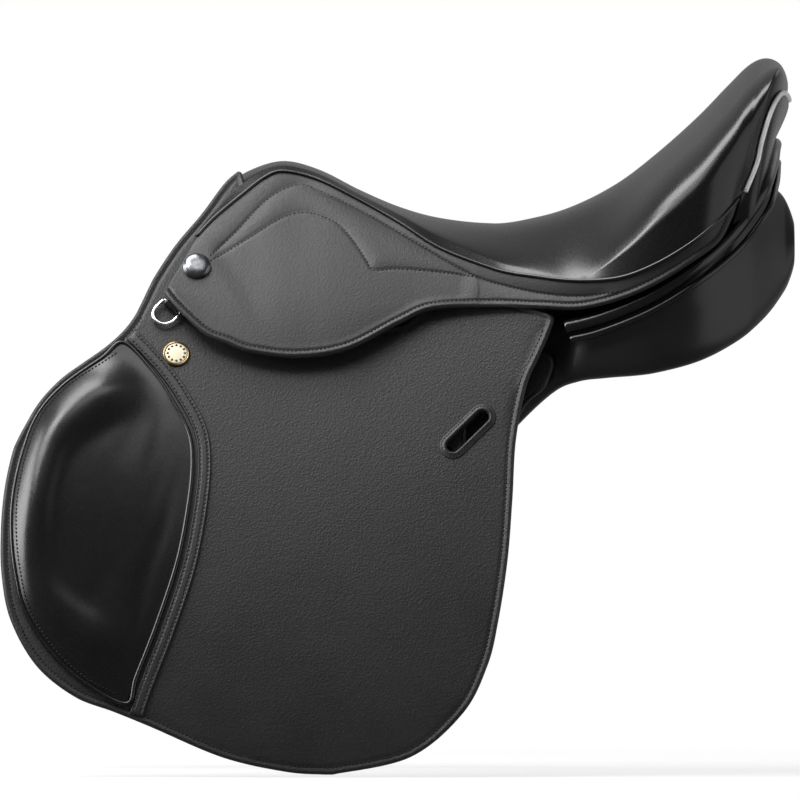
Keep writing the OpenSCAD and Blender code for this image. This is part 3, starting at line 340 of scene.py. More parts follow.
class Bench:
    """Blender's own tools, used on one object at a time."""

    @staticmethod
    def edit(select: str = "SELECT", mode: str = "VERT") -> None:
        """Opens the active piece in edit mode with all of it selected, or nothing."""
        bpy.ops.object.mode_set(mode="EDIT")
        bpy.ops.mesh.select_mode(type=mode)
        bpy.ops.mesh.select_all(action=select)

    @staticmethod
    def leave() -> None:
        """Goes back to object mode."""
        bpy.ops.object.mode_set(mode="OBJECT")

    @staticmethod
    def clear() -> None:
        """Leaves nothing selected."""
        if bpy.context.mode != "OBJECT":
            Bench.leave()
        bpy.ops.object.select_all(action="DESELECT")

    @staticmethod
    def named(name: str) -> Piece:
        """Names the active piece and its mesh."""
        obj = bpy.context.object
        obj.name = obj.data.name = name
        return obj

    @staticmethod
    def take(obj: Piece) -> None:
        """Selects one object alone and makes it the active one."""
        Bench.clear()
        obj.select_set(True)
        bpy.context.view_layer.objects.active = obj

    @staticmethod
    def read(obj: Piece) -> Array:
        """Coordinates of an object's mesh as it stands."""
        flat = np.empty(3 * len(obj.data.vertices))
        obj.data.vertices.foreach_get("co", flat)
        return flat.reshape(-1, 3)

    @staticmethod
    def write(obj: Piece, points: Array) -> None:
        """Moves an object's vertices to points in millimetres."""
        obj.data.vertices.foreach_set("co", (np.asarray(points) * MM).ravel())
        obj.data.update()

    @staticmethod
    def grid(name: str, cols: int, rows: int, lay: Callable[[Array, Array], Array | Faces], thick: bool = True,
             round_: bool = False) -> Piece:
        """Makes a closed piece from a grid that is laid in place.

        Args:
            name: name of the piece.
            cols: faces along its first direction.
            rows: faces along its second direction.
            lay: gives the points at shares along both directions, for a slab the outer and the inner ones.
            thick: whether the grid is extruded to a slab, or else is a skin whose seam and ends meet.
            round_: whether a slab's first direction runs round a middle point, so that it has no inner wall.

        Returns:
            The piece.
        """
        Bench.clear()
        bpy.ops.mesh.primitive_grid_add(x_subdivisions=cols, y_subdivisions=rows, size=2, location=(0, 0, 0))
        obj = Bench.named(name)
        if thick:
            Bench.edit()
            bpy.ops.mesh.extrude_region_move(TRANSFORM_OT_translate={"value": (0, 0, 1)})
            Bench.leave()
        co = Bench.read(obj)
        if round_:
            walls = [np.abs(co[:, 0] - end) < 1e-4 for end in (-1, 1)] + [np.abs(co[:, 1] + 1) < 1e-4]
            Bench.edit("DESELECT", "FACE")
            Bench.leave()
            obj.data.polygons.foreach_set(
                "select", np.array([any(w[list(f.vertices)].all() for w in walls) for f in obj.data.polygons]))
            bpy.ops.object.mode_set(mode="EDIT")
            bpy.ops.mesh.delete(type="ONLY_FACE")
            bpy.ops.mesh.select_mode(type="VERT")
            Bench.leave()
        points = lay((co[:, 0] + 1) / 2, (co[:, 1] + 1) / 2)
        Bench.write(obj, np.where(np.round(co[:, 2:]) > 0.5, *points) if thick else points)
        return Bench.close(obj)

    @staticmethod
    def close(obj: Piece, sharp: Optional[float] = None) -> Piece:
        """Merges seams and poles, turns the faces outwards and smooths the shading.

        Args:
            obj: the piece.
            sharp: angle in degrees from which an edge stays sharp, or None where all are smooth.

        Returns:
            The same piece.
        """
        Bench.take(obj)
        Bench.edit()
        bpy.ops.mesh.remove_doubles(threshold=2e-5)
        bpy.ops.mesh.normals_make_consistent(inside=False)
        Bench.leave()
        if sharp is None:
            bpy.ops.object.shade_smooth()
        else:
            bpy.ops.object.shade_smooth_by_angle(angle=math.radians(sharp))
        return obj

    @staticmethod
    def tube(name: str, path: Array, radius: Array, closed: bool = False, sides: int = 4) -> Piece:
        """Makes a round cord along points.

        Args:
            name: name of the piece.
            path: points in millimetres.
            radius: radius in millimetres, one for all the points or one for each.
            closed: whether the cord runs back to its start.
            sides: roundness of the cord.

        Returns:
            The piece.
        """
        Bench.clear()
        curve = bpy.data.curves.new(name, "CURVE")
        curve.dimensions = "3D"
        curve.bevel_depth = MM
        curve.bevel_resolution = sides
        curve.use_fill_caps = True
        line = curve.splines.new("POLY")
        line.points.add(len(path) - 1)
        rows = np.concatenate([np.asarray(path) * MM, np.ones((len(path), 1))], axis=1)
        line.points.foreach_set("co", rows.ravel())
        line.points.foreach_set("radius", np.broadcast_to(np.asarray(radius, float), len(path)).copy())
        line.use_cyclic_u = closed
        obj = bpy.data.objects.new(name, curve)
        bpy.context.scene.collection.objects.link(obj)
        Bench.take(obj)
        bpy.ops.object.convert(target="MESH")
        return Bench.close(Bench.named(name))

    @staticmethod
    def modify(obj: Piece, kind: str, **settings: object) -> None:
        """Adds a modifier, sets it and applies it."""
        Bench.take(obj)
        made = obj.modifiers.new(kind.title(), kind)
        for key, value in settings.items():
            setattr(made, key, value)
        bpy.ops.object.modifier_apply(modifier=made.name)

    @staticmethod
    def cut(obj: Piece, cutter: Piece, sharp: float) -> Piece:
        """Cuts a piece with another, which is used up, and keeps edges sharp from an angle in degrees."""
        Bench.modify(obj, "BOOLEAN", operation="DIFFERENCE", object=cutter, solver="EXACT")
        bpy.data.objects.remove(cutter)
        Bench.take(obj)
        bpy.ops.object.shade_smooth_by_angle(angle=math.radians(sharp))
        return obj

    @staticmethod
    def join(name: str, parts: Sequence[Piece]) -> Piece:
        """Joins meshes to one piece."""
        Bench.take(parts[0])
        for part in parts[1:]:
            part.select_set(True)
        if len(parts) > 1:
            bpy.ops.object.join()
        return Bench.named(name)

    @staticmethod
    def mirrored(obj: Piece, name: str) -> Piece:
        """Copies a piece to the other side, with a mesh of its own whose faces point outwards."""
        Bench.take(obj)
        bpy.ops.object.duplicate()
        copy = Bench.named(name)
        Bench.write(copy, Bench.read(copy) / MM * OTHER_SIDE)
        Bench.edit()
        bpy.ops.mesh.flip_normals()
        Bench.leave()
        return copy

    @staticmethod
    def puff(obj: Piece, held: Array, pressure: float, cap: float, frames: int = 14) -> None:
        """Lets a padded piece swell as cloth under a little pressure.

        Args:
            obj: the piece, whose mesh takes the result.
            held: for each vertex how firmly it is sewn down, from 0 to 1.
            pressure: pressure inside.
            cap: furthest that a point may move, in millimetres.
            frames: steps of the simulation.
        """
        before = Bench.read(obj) / MM
        group = obj.vertex_groups.new(name="sewn")
        for level in np.unique(np.round(held, 1)):
            if level > 0:
                group.add(np.flatnonzero(np.abs(held - level) < 0.051).tolist(), float(level), "REPLACE")
        Bench.take(obj)
        cloth = obj.modifiers.new("Cloth", "CLOTH")
        cloth.settings.quality = 5
        cloth.settings.mass = 0.4
        cloth.settings.tension_stiffness = cloth.settings.compression_stiffness = 30
        cloth.settings.bending_stiffness = 4
        cloth.settings.use_pressure = True
        cloth.settings.uniform_pressure_force = pressure
        cloth.settings.vertex_group_mass = "sewn"
        cloth.settings.effector_weights.gravity = 0
        cloth.collision_settings.use_collision = False
        cloth.point_cache.frame_end = frames
        scene = bpy.context.scene
        for step in range(1, frames + 1):
            scene.frame_set(step)
        bpy.ops.object.modifier_apply(modifier=cloth.name)
        scene.frame_set(1)
        moved = Bench.read(obj) / MM - before
        far = np.linalg.norm(moved, axis=1, keepdims=True)
        Bench.write(obj, before + moved * (cap * np.tanh(far / cap) / np.maximum(far, 1e-9)))
        Bench.modify(obj, "SMOOTH", factor=0.5, iterations=24, vertex_group="sewn", invert_vertex_group=True)
        obj.vertex_groups.clear()


class Graph:
    """A node tree that is built step by step."""

    def __init__(self, owner: bpy.types.ID) -> None:
        """Starts with the owner's tree, emptied."""
        owner.use_nodes = True
        self.tree = owner.node_tree
        self.tree.nodes.clear()

    def put(self, socket: Socket, value: object) -> None:
        """Links an output to a socket, or sets the socket's own value."""
        if isinstance(value, Socket):
            self.tree.links.new(value, socket)
        else:
            socket.default_value = value

    def add(self, kind: str, links: dict[str, object] | None = None, **settings: object) -> bpy.types.Node:
        """Adds a node.

        Args:
            kind: the node's type without its prefix.
            links: values or outputs for its inputs by name or number.
            settings: the node's own settings.

        Returns:
            The node.
        """
        node = self.tree.nodes.new("ShaderNode" + kind)
        for key, value in settings.items():
            setattr(node, key, value)
        for key, value in (links or {}).items():
            self.put(node.inputs[int(key) if key.isdigit() else key], value)
        return node

    def math(self, how: str, *values: object) -> Socket:
        """A sum or other rule of values and outputs."""
        return self.add("Math", {str(k): v for k, v in enumerate(values)}, operation=how).outputs["Value"]

    def rays(self) -> tuple[bpy.types.bpy_prop_collection, Socket]:
        """The kinds of ray, and a value that is 1 for those that see the background."""
        path = self.add("LightPath").outputs
        return path, self.math("MAXIMUM", path["Is Camera Ray"], path["Is Transmission Ray"])

    def fade(self, source: Socket, start: Row, end: Row) -> Socket:
        """A soft change of a value between two places, each given with the result there."""
        links = {"Value": source, "From Min": start[0], "From Max": end[0],
                 "To Min": start[1], "To Max": end[1]}
        return self.add("MapRange", links, interpolation_type="SMOOTHSTEP").outputs["Result"]

    def show(self, share: Socket, dim: bpy.types.Node, bright: bpy.types.Node, out: str) -> None:
        """Mixes a dim shader and a share of a bright one into the tree's output."""
        mix = self.add("MixShader", {"Fac": share, "1": dim.outputs[0], "2": bright.outputs[0]})
        self.add(out, {"Surface": mix.outputs[0]})


class Nodes(Graph):
    """A piece's material, with one shader and noise on the piece's own coordinates."""

    def __init__(self, name: str) -> None:
        """Starts the material with its shader and output."""
        self.material = bpy.data.materials.new(name)
        super().__init__(self.material)
        self.shader = self.add("BsdfPrincipled")
        self.add("OutputMaterial", {"Surface": self.shader.outputs["BSDF"]})
        self.place = self.add("TexCoord").outputs["Object"]

    def ramp(self, source: Socket, stops: Sequence[tuple[float, Row]]) -> Socket:
        """Colours along a value.

        Args:
            source: the value.
            stops: places from 0 to 1 with their colours.

        Returns:
            The colour's output.
        """
        node = self.add("ValToRGB", {"Fac": source})
        bar = node.color_ramp.elements
        while len(bar) < len(stops):
            bar.new(0.5)
        for element, (at, colour) in zip(bar, stops):
            element.position = at
            element.color = (*colour, 1)
        return node.outputs["Color"]

    def noise(self, scale: float, detail: float = 4, rough: float = 0.55) -> Socket:
        """Soft noise on the piece's own coordinates."""
        return self.add("TexNoise", {"Vector": self.place, "Scale": scale, "Detail": detail,
                                     "Roughness": rough}).outputs["Fac"]

    def span(self, source: Socket, low: float, high: float) -> Socket:
        """A value from 0 to 1 set between two others."""
        return self.add("MapRange", {"Value": source, "To Min": low, "To Max": high}).outputs["Result"]

    def bump(self, height: Socket, depth: float, strength: float,
             under: Optional[Socket] = None) -> Socket:
        """Fine relief of the surface.

        Args:
            height: the relief's value.
            depth: its depth in metres.
            strength: its share.
            under: a relief below this one.

        Returns:
            The normal's output.
        """
        links: dict[str, object] = {"Height": height, "Distance": depth, "Strength": strength}
        if under is not None:
            links["Normal"] = under
        return self.add("Bump", links).outputs["Normal"]

    def set(self, **values: object) -> None:
        """Sets or links the shader's sockets, named with underscores for spaces."""
        for key, value in values.items():
            self.put(self.shader.inputs[key.replace("_", " ")], value)


@dataclass(frozen=True)
class Leather:
    """A dyed leather with its grain, creases and worn sheen."""

    name: str
    colour: Colour
    roughness: tuple[float, float]
    pore: float = 900
    pore_depth: float = 0.00010
    crease: float = 120
    crease_depth: float = 0.0003
    mottle: float = 0.35
    coat: float = 0.0
    specular: float = 0.5

    def make(self) -> bpy.types.Material:
        """Builds the material."""
        n = Nodes(self.name)
        cloud = n.noise(22, 5, 0.6)
        dark, light = ([c * k for c in self.colour] for k in (1 - self.mottle, 1 + self.mottle))
        fine = n.noise(420, 3, 0.6)
        patches = n.ramp(cloud, [(0.3, dark), (0.7, light)])
        colour = n.add("Mix", {"Factor": n.span(fine, 0.0, 0.35), "6": patches,
                               "7": (*[c * 0.55 for c in self.colour], 1)}, data_type="RGBA").outputs[2]
        pores = n.add("TexVoronoi", {"Vector": n.place, "Scale": self.pore, "Randomness": 0.9},
                      feature="SMOOTH_F1").outputs["Distance"]
        creases = n.noise(self.crease, 6, 0.65)
        normal = n.bump(creases, self.crease_depth, 0.35)
        normal = n.bump(pores, self.pore_depth, 0.6, normal)
        worn = n.math("ADD", n.span(cloud, *self.roughness), n.span(pores, -0.05, 0.08))
        n.set(Base_Color=colour, Roughness=worn, Normal=normal, Coat_Weight=self.coat, Coat_Roughness=0.28,
              Specular_IOR_Level=self.specular)
        return n.material


@dataclass(frozen=True)
class Metal:
    """A polished or satin metal with fine scratches and a little tarnish."""

    name: str
    colour: Colour
    tarnish: Colour
    roughness: tuple[float, float]
    scratch: float = 0.00002
    metallic: float = 1.0

    def make(self) -> bpy.types.Material:
        """Builds the material."""
        n = Nodes(self.name)
        cloud = n.noise(160, 5, 0.6)
        stretched = n.add("Mapping", {"Vector": n.place, "Scale": (900, 900, 9000)}).outputs["Vector"]
        lines = n.add("TexNoise", {"Vector": stretched, "Scale": 1.0, "Detail": 3}).outputs["Fac"]
        n.set(Base_Color=n.ramp(cloud, [(0.35, self.tarnish), (0.6, self.colour)]), Metallic=self.metallic,
              Roughness=n.span(lines, *self.roughness), Normal=n.bump(lines, self.scratch, 0.3))
        return n.material


@dataclass(frozen=True)
class Thread:
    """Twisted sewing thread, with painted shade in the grooves of its twist."""

    name: str
    colour: Colour
    roughness: float

    def make(self) -> bpy.types.Material:
        """Builds the material."""
        n = Nodes(self.name)
        twist = n.add("TexWave", {"Vector": n.place, "Scale": 900.0, "Distortion": 1.5},
                      bands_direction="DIAGONAL").outputs["Fac"]
        # Painted shade: the colour drops to 0.6 of the thread's own where the twist's bump is low, in its
        # grooves.
        dark = [c * 0.6 for c in self.colour]
        n.set(Base_Color=n.ramp(twist, [(0.2, dark), (0.8, self.colour)]), Roughness=self.roughness,
              Normal=n.bump(twist, 0.0001, 0.5))
        return n.material


@dataclass(frozen=True)
class Webbing:
    """Woven girth and seat web, with painted shade in the hollows of its weave."""

    name: str
    colour: Colour
    scale: float = 900

    def make(self) -> bpy.types.Material:
        """Builds the material."""
        n = Nodes(self.name)
        weave = n.math("MULTIPLY", *(n.add("TexWave", {"Vector": n.place, "Scale": self.scale / 6},
                                           bands_direction=way).outputs["Fac"] for way in "XZ"))
        fluff = n.noise(self.scale * 2, 4, 0.7)
        # Painted shade: the colour drops to 0.55 of the web's own where the weave's bump is low, in its
        # hollows.
        dark = [c * 0.55 for c in self.colour]
        n.set(Base_Color=n.ramp(weave, [(0.0, dark), (0.6, self.colour)]), Roughness=n.span(fluff, 0.75, 0.95),
              Normal=n.bump(weave, 0.0003, 0.8, n.bump(fluff, 0.0002, 0.4)))
        return n.material


@dataclass(frozen=True)
class Wood:
    """Laminated beech of the tree under dark lacquer."""

    name: str

    def make(self) -> bpy.types.Material:
        """Builds the material."""
        n = Nodes(self.name)
        turned = n.add("Mapping", {"Vector": n.place, "Scale": (6, 60, 60)}).outputs["Vector"]
        rings = n.add("TexNoise", {"Vector": turned, "Scale": 2.0, "Detail": 6,
                                   "Distortion": 0.8}).outputs["Fac"]
        fibre = n.add("TexNoise", {"Vector": turned, "Scale": 30.0, "Detail": 3}).outputs["Fac"]
        colour = n.ramp(rings, [(0.3, (0.014, 0.010, 0.008)), (0.55, (0.022, 0.016, 0.012)),
                                (0.75, (0.030, 0.022, 0.016))])
        n.set(Base_Color=colour, Roughness=n.span(fibre, 0.35, 0.6), Normal=n.bump(fibre, 0.0002, 0.4))
        return n.material


class Finish(Enum):
    """The finishes of the saddle."""

    SEAT = Leather("seat_hide", (0.0036, 0.0036, 0.0038), (0.22, 0.29), 1500, 0.00004, 90, 0.0002, 0.25)
    PAD = Leather("pad_hide", (0.0024, 0.0024, 0.0026), (0.25, 0.32), 1400, 0.00004, 80, 0.0002, 0.25)
    FLAP = Leather("flap_hide", (0.0090, 0.0090, 0.0094), (0.46, 0.56), 720, 0.00038, 160, 0.0002, 0.22)
    SKIRT = Leather("skirt_hide", (0.0115, 0.0115, 0.0119), (0.45, 0.55), 680, 0.00026, 140, 0.0002, 0.20)
    # The panel's hide is the seat's smooth leather with about twice its base colour: painted light, standing in
    # for the soft light over the panels.
    PANEL = Leather("panel_hide_painted_light", (0.0070, 0.0070, 0.0073), (0.30, 0.40), 1200, 0.00005, 60, 0.0003, 0.25)
    EDGE = Leather("edge_hide", (0.0040, 0.0040, 0.0042), (0.18, 0.26), 1300, 0.00004, 160, 0.0001, 0.2, 0.10)
    STRAP = Leather("strap_hide", (0.022, 0.020, 0.0185), (0.42, 0.55), 700, 0.00012, 120, 0.0004, 0.3)
    LINING = Leather("lining_hide", (0.014, 0.014, 0.0148), (0.45, 0.6), 700, 0.00014, 120, 0.0004, 0.3)
    THREAD = Thread("black_thread", (0.0030, 0.0030, 0.0031), 0.8)
    BAND_THREAD = Thread("dark_thread", (0.030, 0.030, 0.031), 0.55)
    SILVER = Metal("silver_cord", (0.88, 0.88, 0.89), (0.74, 0.74, 0.76), (0.36, 0.48), metallic=0.4)
    CHROME = Metal("polished_chrome", (0.92, 0.93, 0.94), (0.72, 0.73, 0.75), (0.12, 0.22))
    NAIL = Metal("dark_chrome", (0.20, 0.205, 0.215), (0.11, 0.112, 0.118), (0.20, 0.30))
    BRASS = Metal("aged_brass", (0.26, 0.18, 0.085), (0.12, 0.08, 0.04), (0.24, 0.36))
    ENAMEL = Leather("cream_enamel", (0.76, 0.69, 0.49), (0.30, 0.40), 2500, 0.00001, 300, 0.00004, 0.08)
    STEEL = Metal("forged_steel", (0.50, 0.51, 0.52), (0.34, 0.345, 0.35), (0.28, 0.42))
    SPRING = Metal("blued_steel", (0.30, 0.31, 0.33), (0.18, 0.18, 0.19), (0.35, 0.5))
    WEB = Webbing("dark_webbing", (0.034, 0.032, 0.030))
    WOOD = Wood("beech_laminate")

    @property
    def material(self) -> bpy.types.Material:
        """The finish's material, built when it is first asked for."""
        return bpy.data.materials.get(self.value.name) or self.value.make()


class Dresser:
    """Gives pieces their finish and body, on one side or on both."""

    @staticmethod
    def dress(obj: Piece, finish: Finish, slot: str, body: Optional[str] = "body",
              nodes: Sequence[str] = ()) -> None:
        """Finishes one piece.

        Args:
            obj: the piece.
            finish: its finish.
            slot: the record's material slot; not used.
            body: the body it rides on, or None where it is attached to no body.
            nodes: solids that it stands for.
        """
        obj.data.materials.clear()
        obj.data.materials.append(finish.material)
        if nodes:
            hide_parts(*nodes)
        if body:
            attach(obj, body)
        LOG.info("%s: %d faces, %s", obj.name, len(obj.data.polygons), finish.name.lower())

    @staticmethod
    def pair(obj: Piece, finish: Finish, slot: str, body: str = "body", stems: Sequence[str] = (),
             hinge: Optional["Hinge"] = None, fill: Optional[float] = None) -> None:
        """Finishes a near-side piece and its copy on the off side.

        Args:
            obj: the near side's piece, named without its side.
            finish: its finish.
            slot: the record's material slot, passed on to dress and not used.
            body: stem of the body it rides on, or "body".
            stems: stems of the solids that it stands for.
            hinge: the leather's bend that it crosses, if any.
            fill: how full it is, where it is padded; not used.
        """
        stem = obj.name
        other = Bench.mirrored(obj, Side.OFF.body(stem))
        obj.name = obj.data.name = Side.NEAR.body(stem)
        for side, piece in ((Side.NEAR, obj), (Side.OFF, other)):
            rides = None if hinge else "body" if body == "body" else side.body(body)
            Dresser.dress(piece, finish, slot, rides, [side.body(s) for s in stems])
            if hinge:
                hinge.bend(piece, side)


@dataclass(frozen=True)
class Hinge:
    """A line along which leather bends when a flap or skirt is lifted."""

    body: str
    shares: Pairs
    in_seat_frame: bool
    out: float
    above: float
    below: float

    def bend(self, obj: Piece, side: Side) -> None:
        """Bakes the piece's transform into its mesh; the bend line is worked out here but the piece is not bent
        along it.

        Args:
            obj: the piece.
            side: its side.
        """
        line = FORM.on_seat(self.shares) if self.in_seat_frame else FORM.on_flap(self.shares)
        a, b = FORM.place(line, self.out)
        normal = FORM.outward(line).mean(0)
        down = np.cross(unit(b - a), normal)
        down = unit(down * (-1 if down[2] > 0 else 1))
        side.body(self.body)
        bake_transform(obj)


FLAP_HINGE = Hinge("flap", ((0.224, 0.056), (0.943, 0.217)), False, 4, 9, 3)
SKIRT_HINGE = Hinge("skirt", ((-0.146, -0.104), (0.446, -0.012)), True, 15, 1, 15)


@dataclass(frozen=True)
class LeatherEdge:
    """How a sheet of leather is finished towards its free edge, in millimetres."""

    thickness: float
    roll: float = 1.8
    bead: float = 0.0
    bead_at: float = 1.8
    groove: float = 0.0
    groove_at: float = 4.5
    groove_w: float = 0.9

    def faces(self, inset: Array) -> Faces:
        """Heights of the outer and inner faces above the inner one.

        Args:
            inset: distances from the free edge.

        Returns:
            The two heights, which meet at the edge.
        """
        rise = np.sqrt(np.maximum(1 - (1 - np.clip(inset / self.roll, 0, 1))**2, 0))
        outer = self.thickness * (0.5 + 0.5 * rise)
        outer = outer + self.bead * rise * np.exp(-((inset - self.bead_at) / (0.7 * self.bead_at))**2)
        outer = outer - self.groove * np.exp(-((inset - self.groove_at) / self.groove_w)**2)
        return outer, self.thickness * (0.5 - 0.5 * rise)

    def wrap(self, places: Array, inset: Array, out: float = 0.0) -> Faces:
        """Points of both faces at places on the side view, the inner face at a distance from the form."""
        outer, inner = self.faces(inset)
        return FORM.place(places, out + outer), FORM.place(places, out + inner)


@dataclass(frozen=True)
class Stitching:
    """A run of saddle stitches, each a copy of one modelled thread."""

    pitch: float = 3.0
    length: float = 2.5
    girth: float = 1.0
    slant: float = 10

    def threads(self, name: str, count: int) -> tuple[Piece, Array]:
        """Models one stitch and copies it.

        Args:
            name: name of the piece.
            count: how many stitches it has.

        Returns:
            The piece with all its stitches in one place, and the points of one.
        """
        Bench.clear()
        bpy.ops.mesh.primitive_uv_sphere_add(segments=6, ring_count=5, radius=0.5, rotation=(0, math.pi / 2, 0))
        bpy.ops.object.transform_apply(location=False, rotation=True, scale=False)
        obj = Bench.named(name)
        one = Bench.read(obj) * np.array([self.length, self.girth, self.girth])
        one[:, 2] -= 0.5 * self.girth * np.abs(2 * one[:, 0] / self.length)**3
        bpy.ops.object.mode_set(mode="EDIT")
        for _ in range(math.ceil(math.log2(count))):
            bpy.ops.mesh.select_all(action="SELECT")
            bpy.ops.mesh.duplicate()
        bpy.ops.mesh.select_all(action="DESELECT")
        Bench.leave()
        spare = np.arange(len(obj.data.vertices)) >= count * len(one)
        obj.data.vertices.foreach_set("select", spare)
        bpy.ops.object.mode_set(mode="EDIT")
        bpy.ops.mesh.delete(type="VERT")
        Bench.leave()
        return obj, one

    def run(self, name: str, path: Array, out: Array, closed: bool = False) -> Piece:
        """Sews along a path.

        Args:
            name: name of the piece.
            path: points on the leather's surface, in millimetres.
            out: the leather's normals at those points.
            closed: whether the run goes back to its start.

        Returns:
            The piece.
        """
        both = np.concatenate([path, out], axis=1)
        if closed:
            both = ringed(both)
        run = length_along(both[:, :3])
        at = np.arange(self.pitch / 2, run[-1], self.pitch)
        row = at_lengths(at, run, both)
        ahead = at_lengths(at + 0.5, run, both[:, :3]) - at_lengths(at - 0.5, run, both[:, :3])
        up = unit(row[:, 3:])
        along = unit(ahead - (ahead * up).sum(1, keepdims=True) * up)
        across = np.cross(up, along)
        turn = math.radians(self.slant)
        along, across = (along * math.cos(turn) + across * math.sin(turn),
                         across * math.cos(turn) - along * math.sin(turn))
        obj, one = self.threads(name, len(at))
        points = (row[:, None, :3] + one[None, :, 0:1] * along[:, None] + one[None, :, 1:2] * across[:, None]
                  + (one[None, :, 2:3] + 0.12 * self.girth) * up[:, None])
        Bench.write(obj, points.reshape(-1, 3))
        Bench.take(obj)
        bpy.ops.object.shade_smooth()
        return obj

    def on_form(self, name: str, places: Array, out: Array, closed: bool = False) -> Piece:
        """Sews along places on the side view, at distances out from the near side's form."""
        return self.run(name, FORM.place(places, out), FORM.outward(places), closed)


SADDLE_STITCH = Stitching()
BAND_STITCH = Stitching(3.2, 2.6, 1.0, 24)
KEEPER_STITCH = Stitching(2.4, 2.0, 0.5)


@dataclass
class LeatherSheet:
    """A leather piece cut to a closed outline and laid on the near side's form."""

    name: str
    outline: Array
    centre: Array
    out: float
    edge: LeatherEdge
    rows: int = 30
    rim_rows: int = 12
    rim: float = 8.0

    def lay(self, u: Array, v: Array) -> Faces:
        """Places on the side view.

        Args:
            u: shares round the outline.
            v: shares from the centre outwards.

        Returns:
            The places, and their distances from the outline.
        """
        n = len(self.outline)
        i = np.round(u * n).astype(int) % n
        edge, along = self.outline[i], unit(np.roll(self.outline, -2, 0) - np.roll(self.outline, 2, 0))[i]
        inward = unit(self.centre - edge)
        straight = np.clip(np.abs(inward[:, 0] * along[:, 1] - inward[:, 1] * along[:, 0]), 0.4, 1)
        split = self.rows / (self.rows + self.rim_rows)
        inset = self.rim * (1 - np.clip((v - split) / (1 - split), 0, 1))**1.25
        p = edge + inward * (inset / straight)[:, None]
        q = self.centre + (p - self.centre) * np.clip(v / split, 0, 1)[:, None]
        return q, inset + np.linalg.norm(p - q, axis=1) * straight

    def build(self) -> Piece:
        """Makes the piece."""
        def lay(u: Array, v: Array) -> Faces:
            return self.edge.wrap(*self.lay(u, v), self.out)
        return Bench.grid(self.name, len(self.outline), self.rows + self.rim_rows, lay, round_=True)

    def seam(self, name: str) -> Piece:
        """Sews a run all round, in the groove along the edge."""
        outer, _ = self.edge.faces(np.array([self.edge.groove_at]))
        return SADDLE_STITCH.on_form(name, moved_in(self.outline, self.edge.groove_at), self.out + outer, True)


